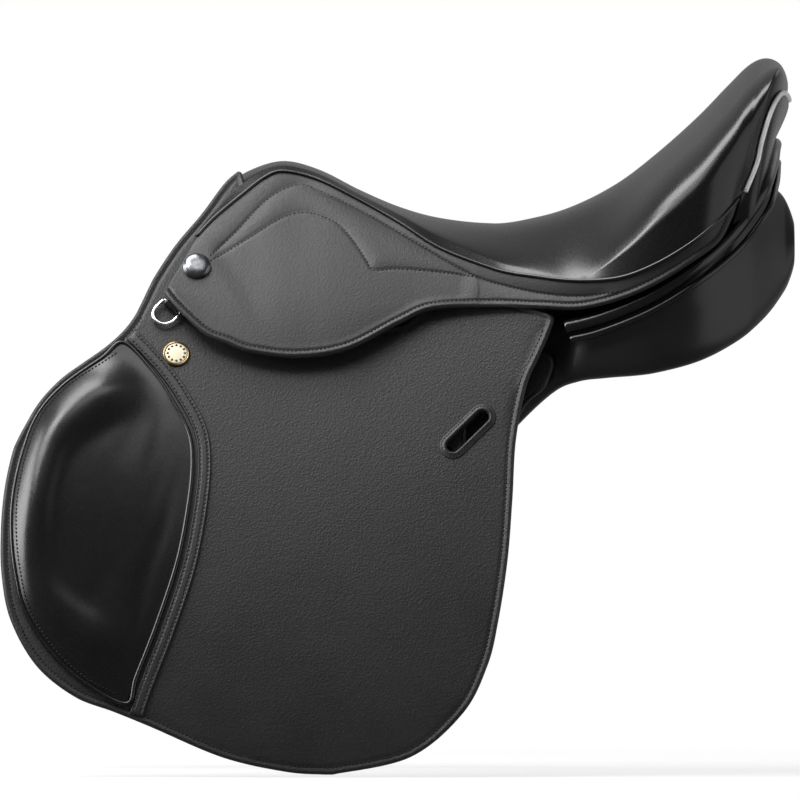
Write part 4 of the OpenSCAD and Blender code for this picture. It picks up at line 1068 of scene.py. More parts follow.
@dataclass
class Seat:
    """The padded seat with its welt."""

    thickness: float = 2.0
    edge_out: float = 8.8
    welt_r: float = 1.5
    stations: Pairs = (
        (-0.103, -0.18, -0.088, 0.026, 0), (-0.076, 0.171, -0.056, 0.054, 0),
        (-0.037, 0.587, -0.006, 0.081, 0), (0.01, 0.858, 0.036, 0.075, 0), (0.071, 1, 0.071, 0.1, 0),
        (0.137, 0.856, 0.133, 0.09, 0), (0.21, 0.536, 0.207, 0.09, 0), (0.283, 0.264, 0.283, 0.15, 0.1),
        (0.356, 0.088, 0.356, 0.28, 0.2), (0.448, 0, 0.448, 0.41, 0.4), (0.539, 0.039, 0.541, 0.56, 0.6),
        (0.612, 0.117, 0.614, 0.71, 0.9), (0.686, 0.249, 0.686, 0.88, 1.1), (0.759, 0.435, 0.75, 1.04, 1.1),
        (0.832, 0.651, 0.813, 1.18, 1), (0.887, 0.837, 0.861, 1.27, 0.8), (0.927, 0.963, 0.888, 1.32, 0.6),
        (0.958, 1, 0.899, 1.31, 0.5), (0.985, 0.957, 0.904, 1.22, 0.4), (0.998, 0.849, 0.907, 1.05, 0.3),
        (0.996, 0.741, 0.91, 0.84, 0.3))
    low_share: float = 0.448
    ridge: Pairs = (
        *((0.56, 0.83, 1.8),) * 6, (0.54, 0.84, 1.8), (0.50, 0.86, 1.8), (0.42, 0.88, 1.9), (0.28, 0.91, 2.2),
        (0.14, 0.95, 2.5), (0.09, 0.97, 2.5), (0.39, 0.955, 1.7), (0.575, 0.95, 1.4), (0.62, 0.945, 1.3),
        (0.645, 0.94, 1.3), (0.693, 0.93, 1.3), (0.775, 0.9, 1.4), (0.8, 0.86, 1.5), (0.8, 0.84, 1.5),
        (0.8, 0.84, 1.5))
    ridge_u: float = 0.55
    rounding: Row = (0.07, 0.18)
    wider_across: Row = (0.08, 0.42)
    wider_along: Row = (7, 10)
    rear_along: Row = (16.5, 19.5)
    round_steps: int = 13
    welt_end: float = 17.4
    rear_line: Pairs = ((0, 0), (0.25, 0.3), (0.36, 0.54), (0.53, 0.82), (0.7, 1), (0.86, 1.065), (1, 1))

    def rows_at(self, t: Array) -> Array:
        """Station rows at places counted in stations."""
        return spline(np.array(self.stations), t)

    def centre(self, r: Array) -> Array:
        """Centre line of the seat on the side view."""
        rise = np.where(r[:, 0] < self.low_share, FORM.pommel_rise, FORM.cantle_rise)
        return columns(FORM.seat_x(r[:, 0]), FORM.seat_low + r[:, 1] * rise)

    def edge(self, r: Array) -> Array:
        """Edge of the seat on the side view."""
        return columns(FORM.seat_x(r[:, 2]), self.centre(r)[:, 1] - FORM.seat_side_h * r[:, 3])

    def surface(self, u: Array, t: Array) -> Array:
        """Points of the seat's outer face, a crowned top that turns over a ridge into the side.

        Args:
            u: places across, from -1 at the near edge to 1 at the off edge.
            t: places along, counted in stations.

        Returns:
            The points.
        """
        r, k = self.rows_at(t), spline(np.array(self.ridge), t)
        c = self.centre(r)
        e = FORM.stand(self.edge(r), self.edge_out)
        top = columns(c[:, 0], 0 * t, c[:, 1])
        fold = e + (top - e) * k[:, :1]
        fold[:, 1] = e[:, 1] * k[:, 1]
        made = np.zeros((len(u), 3))
        steps = np.linspace(-1, 1, self.round_steps)
        near, far = self.rounding
        wide = near + (far - near) * soft_step(np.abs(u), *self.wider_across) * soft_step(t, *self.wider_along)
        for step in steps:
            w = u + step * wide
            a = np.minimum(np.abs(w) / self.ridge_u, 1)[:, None]
            b = np.maximum((np.abs(w) - self.ridge_u) / (1 - self.ridge_u), 0)[:, None]
            p = top + (fold - top) * np.where([[True, False, True]], a**k[:, 2:3], a) + (e - fold) * b
            p[:, 1] *= -np.sign(w)
            made += p / len(steps)
        made[:, 1] *= np.where(u == 0, 0, 1)
        share = np.clip((made[:, 0] - e[:, 0]) / np.maximum(c[:, 0] - e[:, 0], 1e-3), 0, 1)
        lift = (curve(self.rear_line, share) - share) * soft_step(t, *self.rear_along)
        made[:, 2] += lift * (c[:, 1] - e[:, 2])
        return made

    def outward(self, u: Array, t: Array) -> Array:
        """Normals of the seat's outer face."""
        e, last = 0.004, len(self.stations) - 1
        inside = np.clip(u, -0.99, 0.99)
        across = self.surface(inside + e, t) - self.surface(inside - e, t)
        after, before = np.minimum(t + 10 * e, last), np.maximum(t - 10 * e, 0)
        return unit(np.cross(self.surface(inside, after) - self.surface(inside, before), across))

    def build(self) -> None:
        """Makes the seat's cover and its welts."""
        last = len(self.stations) - 1

        def lay(u: Array, v: Array) -> Faces:
            w = 2 * u - 1
            t = v * last
            top = self.surface(w, t)
            return top, top - self.thickness * self.outward(w, t)
        seat = Bench.grid("seat", 120, 200, lay)
        Dresser.dress(seat, Finish.SEAT, "seat_leather", "body", ["seat_cover", "seat_foam"])
        t = np.linspace(0, self.welt_end, 500)
        edge = self.edge(self.rows_at(t))
        path = drawn(FORM.stand(edge, self.edge_out + 0.2), 2.0)
        Dresser.pair(Bench.tube("seat_welt", path, self.welt_r), Finish.EDGE, "seat_leather")


SKIRT_REAR: Pairs = (
    (0.541, 0.007), (0.614, 0.009), (0.69, -0.04), (0.757, -0.15), (0.822, -0.3), (0.868, -0.43),
    (0.892, -0.59), (0.902, -0.69))


@dataclass
class Skirt:
    """The skirt with its lower lobe, one sheet of leather with sewn puffs."""

    edge: LeatherEdge = LeatherEdge(4.0, 2.0, 0.55, 1.9, 0.55, 4.6)
    lift: float = 9
    swell: float = 5
    pull: float = 1.1
    pull_w: float = 4.5
    groove: float = 0.6
    fold_v: float = 0.6
    fold: Pairs = (
        (-0.15, -0.117), (-0.118, -0.11), (-0.06, -0.097), (-0.005, -0.087), (0.045, -0.08), (0.12, -0.07),
        (0.2, -0.058), (0.283, -0.046), (0.356, -0.036), (0.448, -0.018), *SKIRT_REAR)
    foot: Pairs = (
        (-0.147, -0.095), (-0.126, 0.002), (-0.073, 0.06), (-0.03, 0.082), (0.015, 0.101), (0.099, 0.111),
        (0.19, 0.094), (0.283, 0.039), (0.345, 0.008), (0.446, 0.003), *SKIRT_REAR)
    lift_shares: Pairs = (
        (-0.2, 0.9), (-0.05, 1), (0.2, 1), (0.33, 0.75), (0.45, 0.3), (0.56, 0.05), (0.65, 0), (1.2, 0))
    swell_shares: Pairs = (
        (-0.2, 0), (-0.1, 0.05), (0, 0.55), (0.08, 1), (0.22, 1), (0.32, 0.5), (0.42, 0.1), (0.5, 0), (1.2, 0))
    seam_high: Pairs = (
        (209, 256), (234, 232), (263, 201), (284, 187), (303, 183), (326, 192), (368, 213), (400, 232),
        (420, 244), (460, 268), (476, 276), (500, 284), (541, 293), (581, 296), (616, 292))
    seam_low: Pairs = (
        (209, 261), (253, 234), (282, 216), (303, 211), (320, 214), (339, 224), (354, 241), (366, 259),
        (374, 269), (400, 268), (447, 272), (479, 277))

    def stand(self, x: Array, v: Array) -> Array:
        """How far the inner face stands off the form, at places along and shares down the skirt."""
        s = (x + FORM.seat_ahead) / FORM.seat_l
        return (FORM.skirt_in + self.lift * v * curve(self.lift_shares, s)
                + self.swell * np.sin(math.pi * v) * curve(self.swell_shares, s))

    def build(self, seat: Seat) -> None:
        """Makes both skirts with their seams.

        Args:
            seat: the seat, whose edge the skirts are sewn to.
        """
        self.seat = seat
        foot = FORM.on_seat(self.foot)
        fine = np.linspace(0, len(self.foot) - 1, 1200)
        line = spline(foot, fine)
        run = length_along(line)
        self.table = (run / run[-1], fine)
        top_front = seat.edge(seat.rows_at(np.array([0.0])))[0]
        front = top_front + (foot[0] - top_front) * np.linspace(0, 1, 30)[:, None]
        self.front_line, self.foot_line = front, line[::3]
        high, low = drawn(seen(self.seam_high), 2.0), drawn(seen(self.seam_low), 2.0)
        self.seams = (high, low)
        skirt = Bench.grid("skirt_leather", 420, 110, self.lay)
        Dresser.pair(skirt, Finish.SKIRT, "flap_leather", stems=["skirt", "skirt_lobe"], hinge=SKIRT_HINGE)
        self.sew()

    def places(self, u: Array, v: Array) -> Faces:
        """Places on the side view and shares down the skirt.

        Args:
            u: shares along the foot.
            v: shares down.

        Returns:
            The places, and the shares that the stand-off is measured by.
        """
        t = np.interp(u, *self.table)
        top = self.seat.edge(self.seat.rows_at(t)) - np.array([0, 0.3])
        foot, fold = spline(FORM.on_seat(self.foot), t), spline(FORM.on_seat(self.fold), t)
        p = top + (foot - top) * v[:, None]
        share = np.clip((top[:, 1] - fold[:, 1]) / np.maximum(top[:, 1] - foot[:, 1], 1e-3), 0.05, 1)
        upper = self.fold_v * v / share
        lower = self.fold_v + (1 - self.fold_v) * (v - share) / np.maximum(1 - share, 1e-3)
        return p, np.where(v <= share, upper, lower)

    def relief(self, p: Array) -> Array:
        """How far the seams pull the skirt's outer face in at places on the side view."""
        height = np.zeros(len(p))
        for seam, below in zip(self.seams, (1.0, 0.0)):
            gap, along = reach(p, seam)
            long = np.linalg.norm(np.diff(seam, axis=0), axis=1).sum()
            ends = soft_step(along, -1, 14) * (1 - soft_step(along, long - 14, long))
            under = p[:, 1] < np.interp(p[:, 0], *seam[np.argsort(seam[:, 0])].T)
            pull = self.pull * np.where(under, below, 1.0) * np.exp(-(gap / self.pull_w)**1.5)
            level = self.pull * np.where(under, 1 - below, 0.0) * np.exp(-(gap / 60)**2)
            height -= ends * (pull + level + self.groove * np.exp(-(gap / 0.8)**2))
        return height

    def faces(self, p: Array, share: Array) -> tuple[Array, Array, Array]:
        """Distances of both faces from the form, and the places on it that they stand over.

        Args:
            p: places on the side view where the outer face is seen.
            share: shares down the skirt.

        Returns:
            The outer and inner distances, and the places.
        """
        gap, _ = reach(p, self.foot_line)
        ahead, _ = reach(p, self.front_line)
        outer, inner = self.edge.faces(gap)
        plain_outer, plain_inner = LeatherEdge(FORM.skirt_t, 1.6).faces(ahead)
        outer, inner = np.minimum(outer, plain_outer + self.edge.bead), np.maximum(inner, plain_inner)
        stand = self.stand(p[:, 0], share)
        out = stand + outer + self.relief(p) * soft_step(gap, 3, 10) * soft_step(ahead, 1, 6)
        return out, stand + inner, FORM.under(p, stand + FORM.skirt_t)

    def lay(self, u: Array, v: Array) -> Faces:
        """Outer and inner points at shares along and down."""
        down = np.where(v < 0.7, v / 0.7 * 0.86, 0.86 + (1 - (1 - (v - 0.7) / 0.3)**1.2) * 0.14)
        p, share = self.places(u, down)
        outer, inner, base = self.faces(p, share)
        return FORM.place(base, outer), FORM.place(base, inner)

    def on_top(self, path: Array) -> Faces:
        """Points and normals of the skirt's outer face along a path on the side view."""
        u = np.repeat(np.linspace(0, 1, 500), 120)
        v = np.tile(np.linspace(0, 1, 120), 500)
        p, share = self.places(u, v)
        near = np.array([((p - q)**2).sum(1).argmin() for q in path])
        outer, _, base = self.faces(path, share[near])
        return FORM.place(base, outer), FORM.outward(base)

    def sew(self) -> None:
        """Sews the foot and both seams."""
        foot = drawn(FORM.on_seat(self.foot), 1.5)
        ahead = unit(np.roll(foot, -1, 0) - np.roll(foot, 1, 0))
        ahead[0], ahead[-1] = ahead[1], ahead[-2]
        inset = foot + self.edge.groove_at * leftward(ahead)
        high, low = (drawn(seam, 1.0) for seam in self.seams)
        for name, path in (("foot", inset[3:-3]), ("high", high), ("low", low)):
            stitches = SADDLE_STITCH.run(f"skirt_{name}_stitches", *self.on_top(path))
            Dresser.pair(stitches, Finish.THREAD, "flap_leather", hinge=SKIRT_HINGE)


@dataclass
class Flap:
    """The flap and its head, one sheet of leather with a rolled, stitched edge and the keeper's slot."""

    edge: LeatherEdge = LeatherEdge(4.0, 2.0, 0.5, 1.8, 0.5, 5.0)
    keeper_share: Row = (0.846, 0.275)
    keeper_turn: float = 46
    keeper_l: float = 40
    keeper_w: float = 9
    front: Pairs = (
        (0.424, -0.905), (0.4005, -0.823), (0.3604, -0.617), (0.3149, -0.411), (0.2785, -0.206),
        (0.2641, -0.103), (0.2513, 0), (0.2369, 0.032), (0.2149, 0.064), (0.184, 0.096), (0.144, 0.129),
        (0.11, 0.158), (0.08, 0.193), (0.06, 0.224), (0.044, 0.257), (0.03, 0.288), (0.019, 0.321),
        (0.006, 0.396), (0, 0.482), (0.002, 0.579), (0.019, 0.675), (0.066, 0.771), (0.135, 0.836),
        (0.206, 0.868), (0.273, 0.9), (0.402, 0.964), (0.515, 0.994), (0.586, 1))
    middle: Pairs = (
        (0.429, -0.905), (0.424, -0.79), (0.405, -0.585), (0.384, -0.355), (0.366, -0.155), (0.36, -0.05),
        (0.362, 0.035), (0.42, 0.085), (0.49, 0.11), (0.56, 0.135), (0.61, 0.152), (0.645, 0.166),
        (0.665, 0.183), (0.68, 0.202), (0.69, 0.222), (0.69, 0.245), (0.68, 0.27), (0.65, 0.315),
        (0.615, 0.37), (0.575, 0.435), (0.54, 0.515), (0.51, 0.6), (0.52, 0.69), (0.545, 0.77),
        (0.57, 0.835), (0.61, 0.92), (0.625, 0.98), (0.593, 1))
    rear: Pairs = (
        (0.434, -0.895), (0.444, -0.76), (0.447, -0.55), (0.449, -0.3), (0.453, -0.1), (0.457, -0.01),
        (0.466, 0.046), (0.55, 0.05), (0.638, 0.05), (0.722, 0.046), (0.772, 0.005), (0.805, -0.05),
        (0.845, -0.07), (0.9, -0.04), (0.943, -0.005), (0.977, 0.012), (1.003, 0.028), (0.994, 0.066),
        (0.977, 0.111), (0.953, 0.174), (0.933, 0.289), (0.926, 0.418), (0.917, 0.546), (0.9, 0.675),
        (0.88, 0.771), (0.835, 0.872), (0.74, 0.964), (0.6, 1))
    rows: int = 230
    cols: int = 40
    rim: Row = (0, 0.12, 0.4, 0.8, 1.3, 1.9, 2.6, 3.3, 4.0, 4.6, 5.2, 5.9, 6.8, 8.0, 9.6)
    stitched_below: Pairs = ((0.2, 0.02), (0.97, 0.125))
    rim_profile: Pairs = (
        (0, 0.1), (0.2, 1.3), (1.1, 1.9), (2, 1.5), (2.7, 1.1), (3.4, 1), (4.2, 0.8), (4.5, 0.1), (2.3, -0.1))
    rim_stitch_at: float = 3.1
    rim_stitch_out: float = 1.05

    def build(self) -> None:
        """Makes both flaps, their stitches and the keepers."""
        self.lines = tuple(FORM.on_flap(line) for line in (self.front, self.middle, self.rear))
        front, rear = drawn(self.lines[0], 2.0), drawn(self.lines[2], 2.0)
        self.outline = np.concatenate([front, rear[::-1]])
        flap = Bench.grid("flap_leather", self.cols + 2 * len(self.rim) - 3, self.rows, self.lay)
        flap = self.cut_slot(flap)
        Dresser.pair(flap, Finish.FLAP, "flap_leather", stems=["flap", "flap_head"], hinge=FLAP_HINGE)
        run = moved_in(drawn(self.outline, 2.0, True), self.edge.groove_at)
        below = run[:, 1] < np.interp(run[:, 0], *FORM.on_flap(self.stitched_below).T)
        first = int(np.argmax(below & ~np.roll(below, 1)))
        run = np.roll(run, -first, 0)[:int(below.sum())]
        outer, _ = self.edge.faces(np.array([self.edge.groove_at]))
        stitches = SADDLE_STITCH.on_form("flap_stitches", run, outer)
        Dresser.pair(stitches, Finish.THREAD, "flap_leather", hinge=FLAP_HINGE)
        self.rim_roll()

    def lay(self, u: Array, v: Array) -> Faces:
        """Outer and inner points at shares from the front edge to the rear and from the head down."""
        n = len(self.front) - 1
        fine = np.linspace(0, n, 3000)
        run = sum(length_along(spline(line, fine)) for line in self.lines)
        at = np.interp(v, run / run[-1], fine)
        f, m, r = (spline(line, at) for line in self.lines)
        one, two = (np.linalg.norm(d, axis=1) for d in (m - f, r - m))
        long = one + two
        share = np.clip(one / np.maximum(long, 1e-6), 0.05, 0.95)[:, None]
        cols = self.cols + 2 * len(self.rim) - 3
        k = np.round(u * cols).astype(int)
        rim = np.array(self.rim)
        wide = np.minimum(1, long / (3 * rim[-1]))
        last = len(rim) - 1
        inner = rim[-1] * wide + (long - 2 * rim[-1] * wide) * (k - last) / (cols - 2 * last)
        go = np.where(k <= last, rim[np.clip(k, 0, last)] * wide,
                      np.where(k >= cols - last, long - rim[np.clip(cols - k, 0, last)] * wide, inner))
        w = (go / np.maximum(long, 1e-6))[:, None]
        p = (f * (w - share) * (w - 1) / share + m * w * (w - 1) / (share * (share - 1))
             + r * w * (w - share) / (1 - share))
        gap, _ = reach(p, ringed(self.outline))
        return self.edge.wrap(p, gap)

    def slot_line(self, long: float, wide: float, step: float) -> Array:
        """Closed line of a slot with round ends on the side view."""
        turn = math.radians(self.keeper_turn)
        half, r = (long - wide) / 2, wide / 2
        a = np.linspace(-math.pi / 2, math.pi / 2, 16)
        x = np.concatenate([half + r * np.cos(a), -half - r * np.cos(a)])
        y = np.concatenate([r * np.sin(a), -r * np.sin(a)])
        flat = columns(x * math.cos(turn) - y * math.sin(turn), x * math.sin(turn) + y * math.cos(turn))
        at = FORM.on_flap(self.keeper_share)
        tilt = -FORM.outward(at)[0, 1]
        loop = at + flat * np.array([1, tilt])
        ring = ringed(loop)
        run = length_along(ring)
        return at_lengths(np.arange(0, run[-1] - step / 2, step), run, ring)

    def cut_slot(self, flap: Piece) -> Piece:
        """Cuts the keeper's slot through the flap."""
        line = self.slot_line(self.keeper_l, self.keeper_w, 1.5)
        at = FORM.on_flap(self.keeper_share)
        out = FORM.outward(at)[0]
        flat = FORM.place(line, 0.0)
        Bench.clear()
        bpy.ops.mesh.primitive_circle_add(vertices=len(line), radius=1, fill_type="NGON")
        cutter = bpy.context.object
        Bench.write(cutter, flat - 6 * out)
        Bench.edit()
        bpy.ops.mesh.extrude_region_move(TRANSFORM_OT_translate={"value": tuple(16 * MM * out)})
        bpy.ops.mesh.select_all(action="SELECT")
        bpy.ops.mesh.normals_make_consistent(inside=False)
        Bench.leave()
        return Bench.cut(flap, cutter, 50)

    def rim_roll(self) -> None:
        """Makes the keeper's rolled rim and its stitches."""
        inner = self.slot_line(self.keeper_l + 1, self.keeper_w + 1, 1.0)
        n = len(inner)
        mid = inner.mean(0)
        tangent = unit(np.roll(inner, -1, 0) - np.roll(inner, 1, 0))
        away = leftward(tangent)
        away = away * np.sign(((inner - mid) * away).sum(1, keepdims=True))
        profile = spline(self.rim_profile, np.linspace(0, len(self.rim_profile), 37), True)

        def lay(u: Array, v: Array) -> Array:
            i = np.round(u * n).astype(int) % n
            k = np.round(v * (len(profile) - 1)).astype(int)
            return FORM.place(inner[i] + away[i] * profile[k, :1], FORM.flap_t + profile[k, 1])
        rim = Bench.grid("keeper_rim_leather", n, len(profile) - 1, lay, False)
        Dresser.pair(rim, Finish.SKIRT, "flap_leather", "flap", ["keeper_rim"])
        path = inner + away * self.rim_stitch_at
        run = KEEPER_STITCH.on_form("keeper_stitches", path, FORM.flap_t + self.rim_stitch_out, True)
        Dresser.pair(run, Finish.THREAD, "flap_leather", "flap")


@dataclass
class KneePad:
    """The knee pad with its roll and dish, its welt and the double-stitched band beside it."""

    base: float = 4.4
    height: float = 17
    welt_r: float = 1.5
    band_w: float = 9.5
    outline: Pairs = (
        (0.22, 0.088), (0.18, 0.122), (0.111, 0.18), (0.064, 0.244), (0.037, 0.328), (0.022, 0.416),
        (0.02, 0.497), (0.028, 0.579), (0.046, 0.66), (0.088, 0.737), (0.148, 0.804), (0.228, 0.853),
        (0.246, 0.797), (0.282, 0.688), (0.32, 0.551), (0.34, 0.426), (0.346, 0.339), (0.339, 0.279),
        (0.309, 0.212), (0.273, 0.15))
    front_points: int = 12
    band: Pairs = (
        (0.224, 0.077), (0.281, 0.148), (0.317, 0.206), (0.348, 0.274), (0.356, 0.339), (0.35, 0.43),
        (0.33, 0.556), (0.292, 0.692), (0.256, 0.8), (0.24, 0.852), (0.235, 0.874))
    roll_w: float = 28
    crest_from: Row = (-0.05, 0.30)
    crest_to: Row = (0.40, 0.95)
    crest_shares: Row = (0.55, 0.72)
    hollow_rim: Row = (-17, 12)
    floor_shares: Row = (0.50, 0.42)
    rear_w: float = 42
    rear_share: float = 0.08
    least: float = 1.2
    band_edge: LeatherEdge = LeatherEdge(1.8, 1.0, 0.0, 1.0, 0.55, 2.0, 0.8)
    floor_from: Row = (-256, -76)
    floor_way: Row = (0.8, -0.6)
    floor_l: float = 110
    dish: Pairs = (
        (166, 408), (120, 411), (90, 428), (66, 450), (54, 478), (48, 513), (45, 550), (52, 585), (74, 608),
        (107, 627), (136, 632), (170, 560), (190, 500), (192, 450), (182, 422))

    def edges(self) -> Faces:
        """The pad's front and rear edges on the side view, both from the top down."""
        out = FORM.on_flap(self.outline)
        return (drawn(out[:self.front_points], 1.0),
                drawn(np.concatenate([out[self.front_points - 1:], out[:1]]), 1.0)[::-1])

    def swell(self, p: Array) -> Array:
        """Height of the pad above its base at places on the side view."""
        front, rear = self.edges()
        to_front, to_rear = reach(p, front)[0], reach(p, rear)[0]
        down = np.clip((front[0, 1] - p[:, 1]) / (front[0, 1] - front[-1, 1]), 0, 1)
        top, fall = self.crest_shares
        crest = (self.height * (top + (1 - top) * soft_step(down, *self.crest_from))
                 * (1 - fall * soft_step(down, *self.crest_to)))
        near = np.clip(to_front / self.roll_w, 0, 1)
        full = crest * np.sin(math.pi / 2 * near)**0.85
        ring = drawn(seen(self.dish), 2.0, True)
        gap, _ = reach(p, ringed(ring))
        inside = np.where(self.within(p, ring), gap, -gap)
        hollow = soft_step(inside, *self.hollow_rim)
        slope = np.clip(((p - self.floor_from) * self.floor_way).sum(1) / self.floor_l, 0, 1)
        floor = self.height * (self.floor_shares[0] - self.floor_shares[1] * slope)
        height = full + (np.minimum(floor, full) - full) * hollow
        rear = self.rear_share + (1 - self.rear_share) * soft_step(to_rear, 0, self.rear_w)
        return self.least + height * rear

    @staticmethod
    def within(p: Array, ring: Array) -> Array:
        """Which places lie inside a closed line."""
        a, b = ring, np.roll(ring, -1, 0)
        count = np.zeros(len(p), int)
        for (ax, az), (bx, bz) in zip(a, b):
            crosses = (az > p[:, 1]) != (bz > p[:, 1])
            count += crosses & (p[:, 0] < ax + (p[:, 1] - az) / (bz - az if bz != az else 1e-9) * (bx - ax))
        return count % 2 == 1

    def build(self) -> None:
        """Makes both pads, their welts, bands and stitches."""
        outline = drawn(FORM.on_flap(self.outline), 3.0, True)
        front, rear = self.edges()

        def lay(u: Array, v: Array) -> Faces:
            across, down = (0.5 - 0.5 * np.cos(math.pi * w) for w in (u, v))
            z = front[0, 1] + (front[-1, 1] - front[0, 1]) * down
            ends = [np.interp(-z, -line[:, 1], line[:, 0]) for line in (front, rear)]
            places = columns(ends[0] + (ends[1] - ends[0]) * across, z)
            return FORM.place(places, self.base + self.swell(places)), FORM.place(places, self.base)
        pad = Bench.grid("knee_pad_leather", 80, 130, lay)
        co = Bench.read(pad) / MM
        places = co[:, [0, 2]]
        gap, _ = reach(places, ringed(outline))
        depth = np.abs(co[:, 1]) - FORM.half_width(co[:, 0], co[:, 2])
        held = np.maximum(1 - soft_step(gap, 2, 14), (depth < self.base + 0.3).astype(float))
        Bench.puff(pad, held, 2.5, 2.5)
        Bench.close(pad)
        Dresser.pair(pad, Finish.PAD, "seat_leather", "flap", ["knee_pad"], fill=0.7)
        welt = Bench.tube("knee_welt", FORM.place(outline, self.base + 1.3), self.welt_r, True)
        Dresser.pair(welt, Finish.EDGE, "seat_leather", "flap")
        run = drawn(FORM.on_flap(self.outline[:self.front_points]), 2.0)[4:-4]
        ahead = unit(np.gradient(run, axis=0))
        run = run + 3.2 * leftward(ahead)
        stitches = SADDLE_STITCH.on_form("knee_pad_stitches", run, self.base + self.swell(run) + 0.2)
        Dresser.pair(stitches, Finish.THREAD, "seat_leather", "flap")
        self.beside()

    def beside(self) -> None:
        """Makes the stitched band behind the pad."""
        inner = drawn(FORM.on_flap(self.band), 2.0)
        ahead = unit(np.gradient(inner, axis=0))
        across = leftward(ahead)
        edge, groove = self.band_edge, self.band_edge.groove_at
        n = len(inner) - 1

        def at(u: Array, v: Array) -> Faces:
            i = np.round(u * n).astype(int)
            return inner[i] + across[i] * (v * self.band_w)[:, None], np.minimum(v, 1 - v) * self.band_w

        def lay(u: Array, v: Array) -> Faces:
            p, inset = at(u, v)
            ends = np.minimum(u, 1 - u) * n * 2.0
            return edge.wrap(p, np.minimum(inset, np.maximum(ends, 0)), self.base - 0.3)
        band = Bench.grid("knee_band_leather", n, 24, lay)
        Dresser.pair(band, Finish.SKIRT, "flap_leather", "flap", ["knee_band"])
        for end, v in (("front", groove), ("rear", self.band_w - groove)):
            p, inset = at(np.linspace(0, 1, n + 1), np.full(n + 1, v / self.band_w))
            outer, _ = edge.faces(inset)
            run = BAND_STITCH.on_form(f"knee_band_stitches_{end}", p[2:-2], self.base - 0.2 + outer[2:-2])
            Dresser.pair(run, Finish.BAND_THREAD, "flap_leather", "flap")


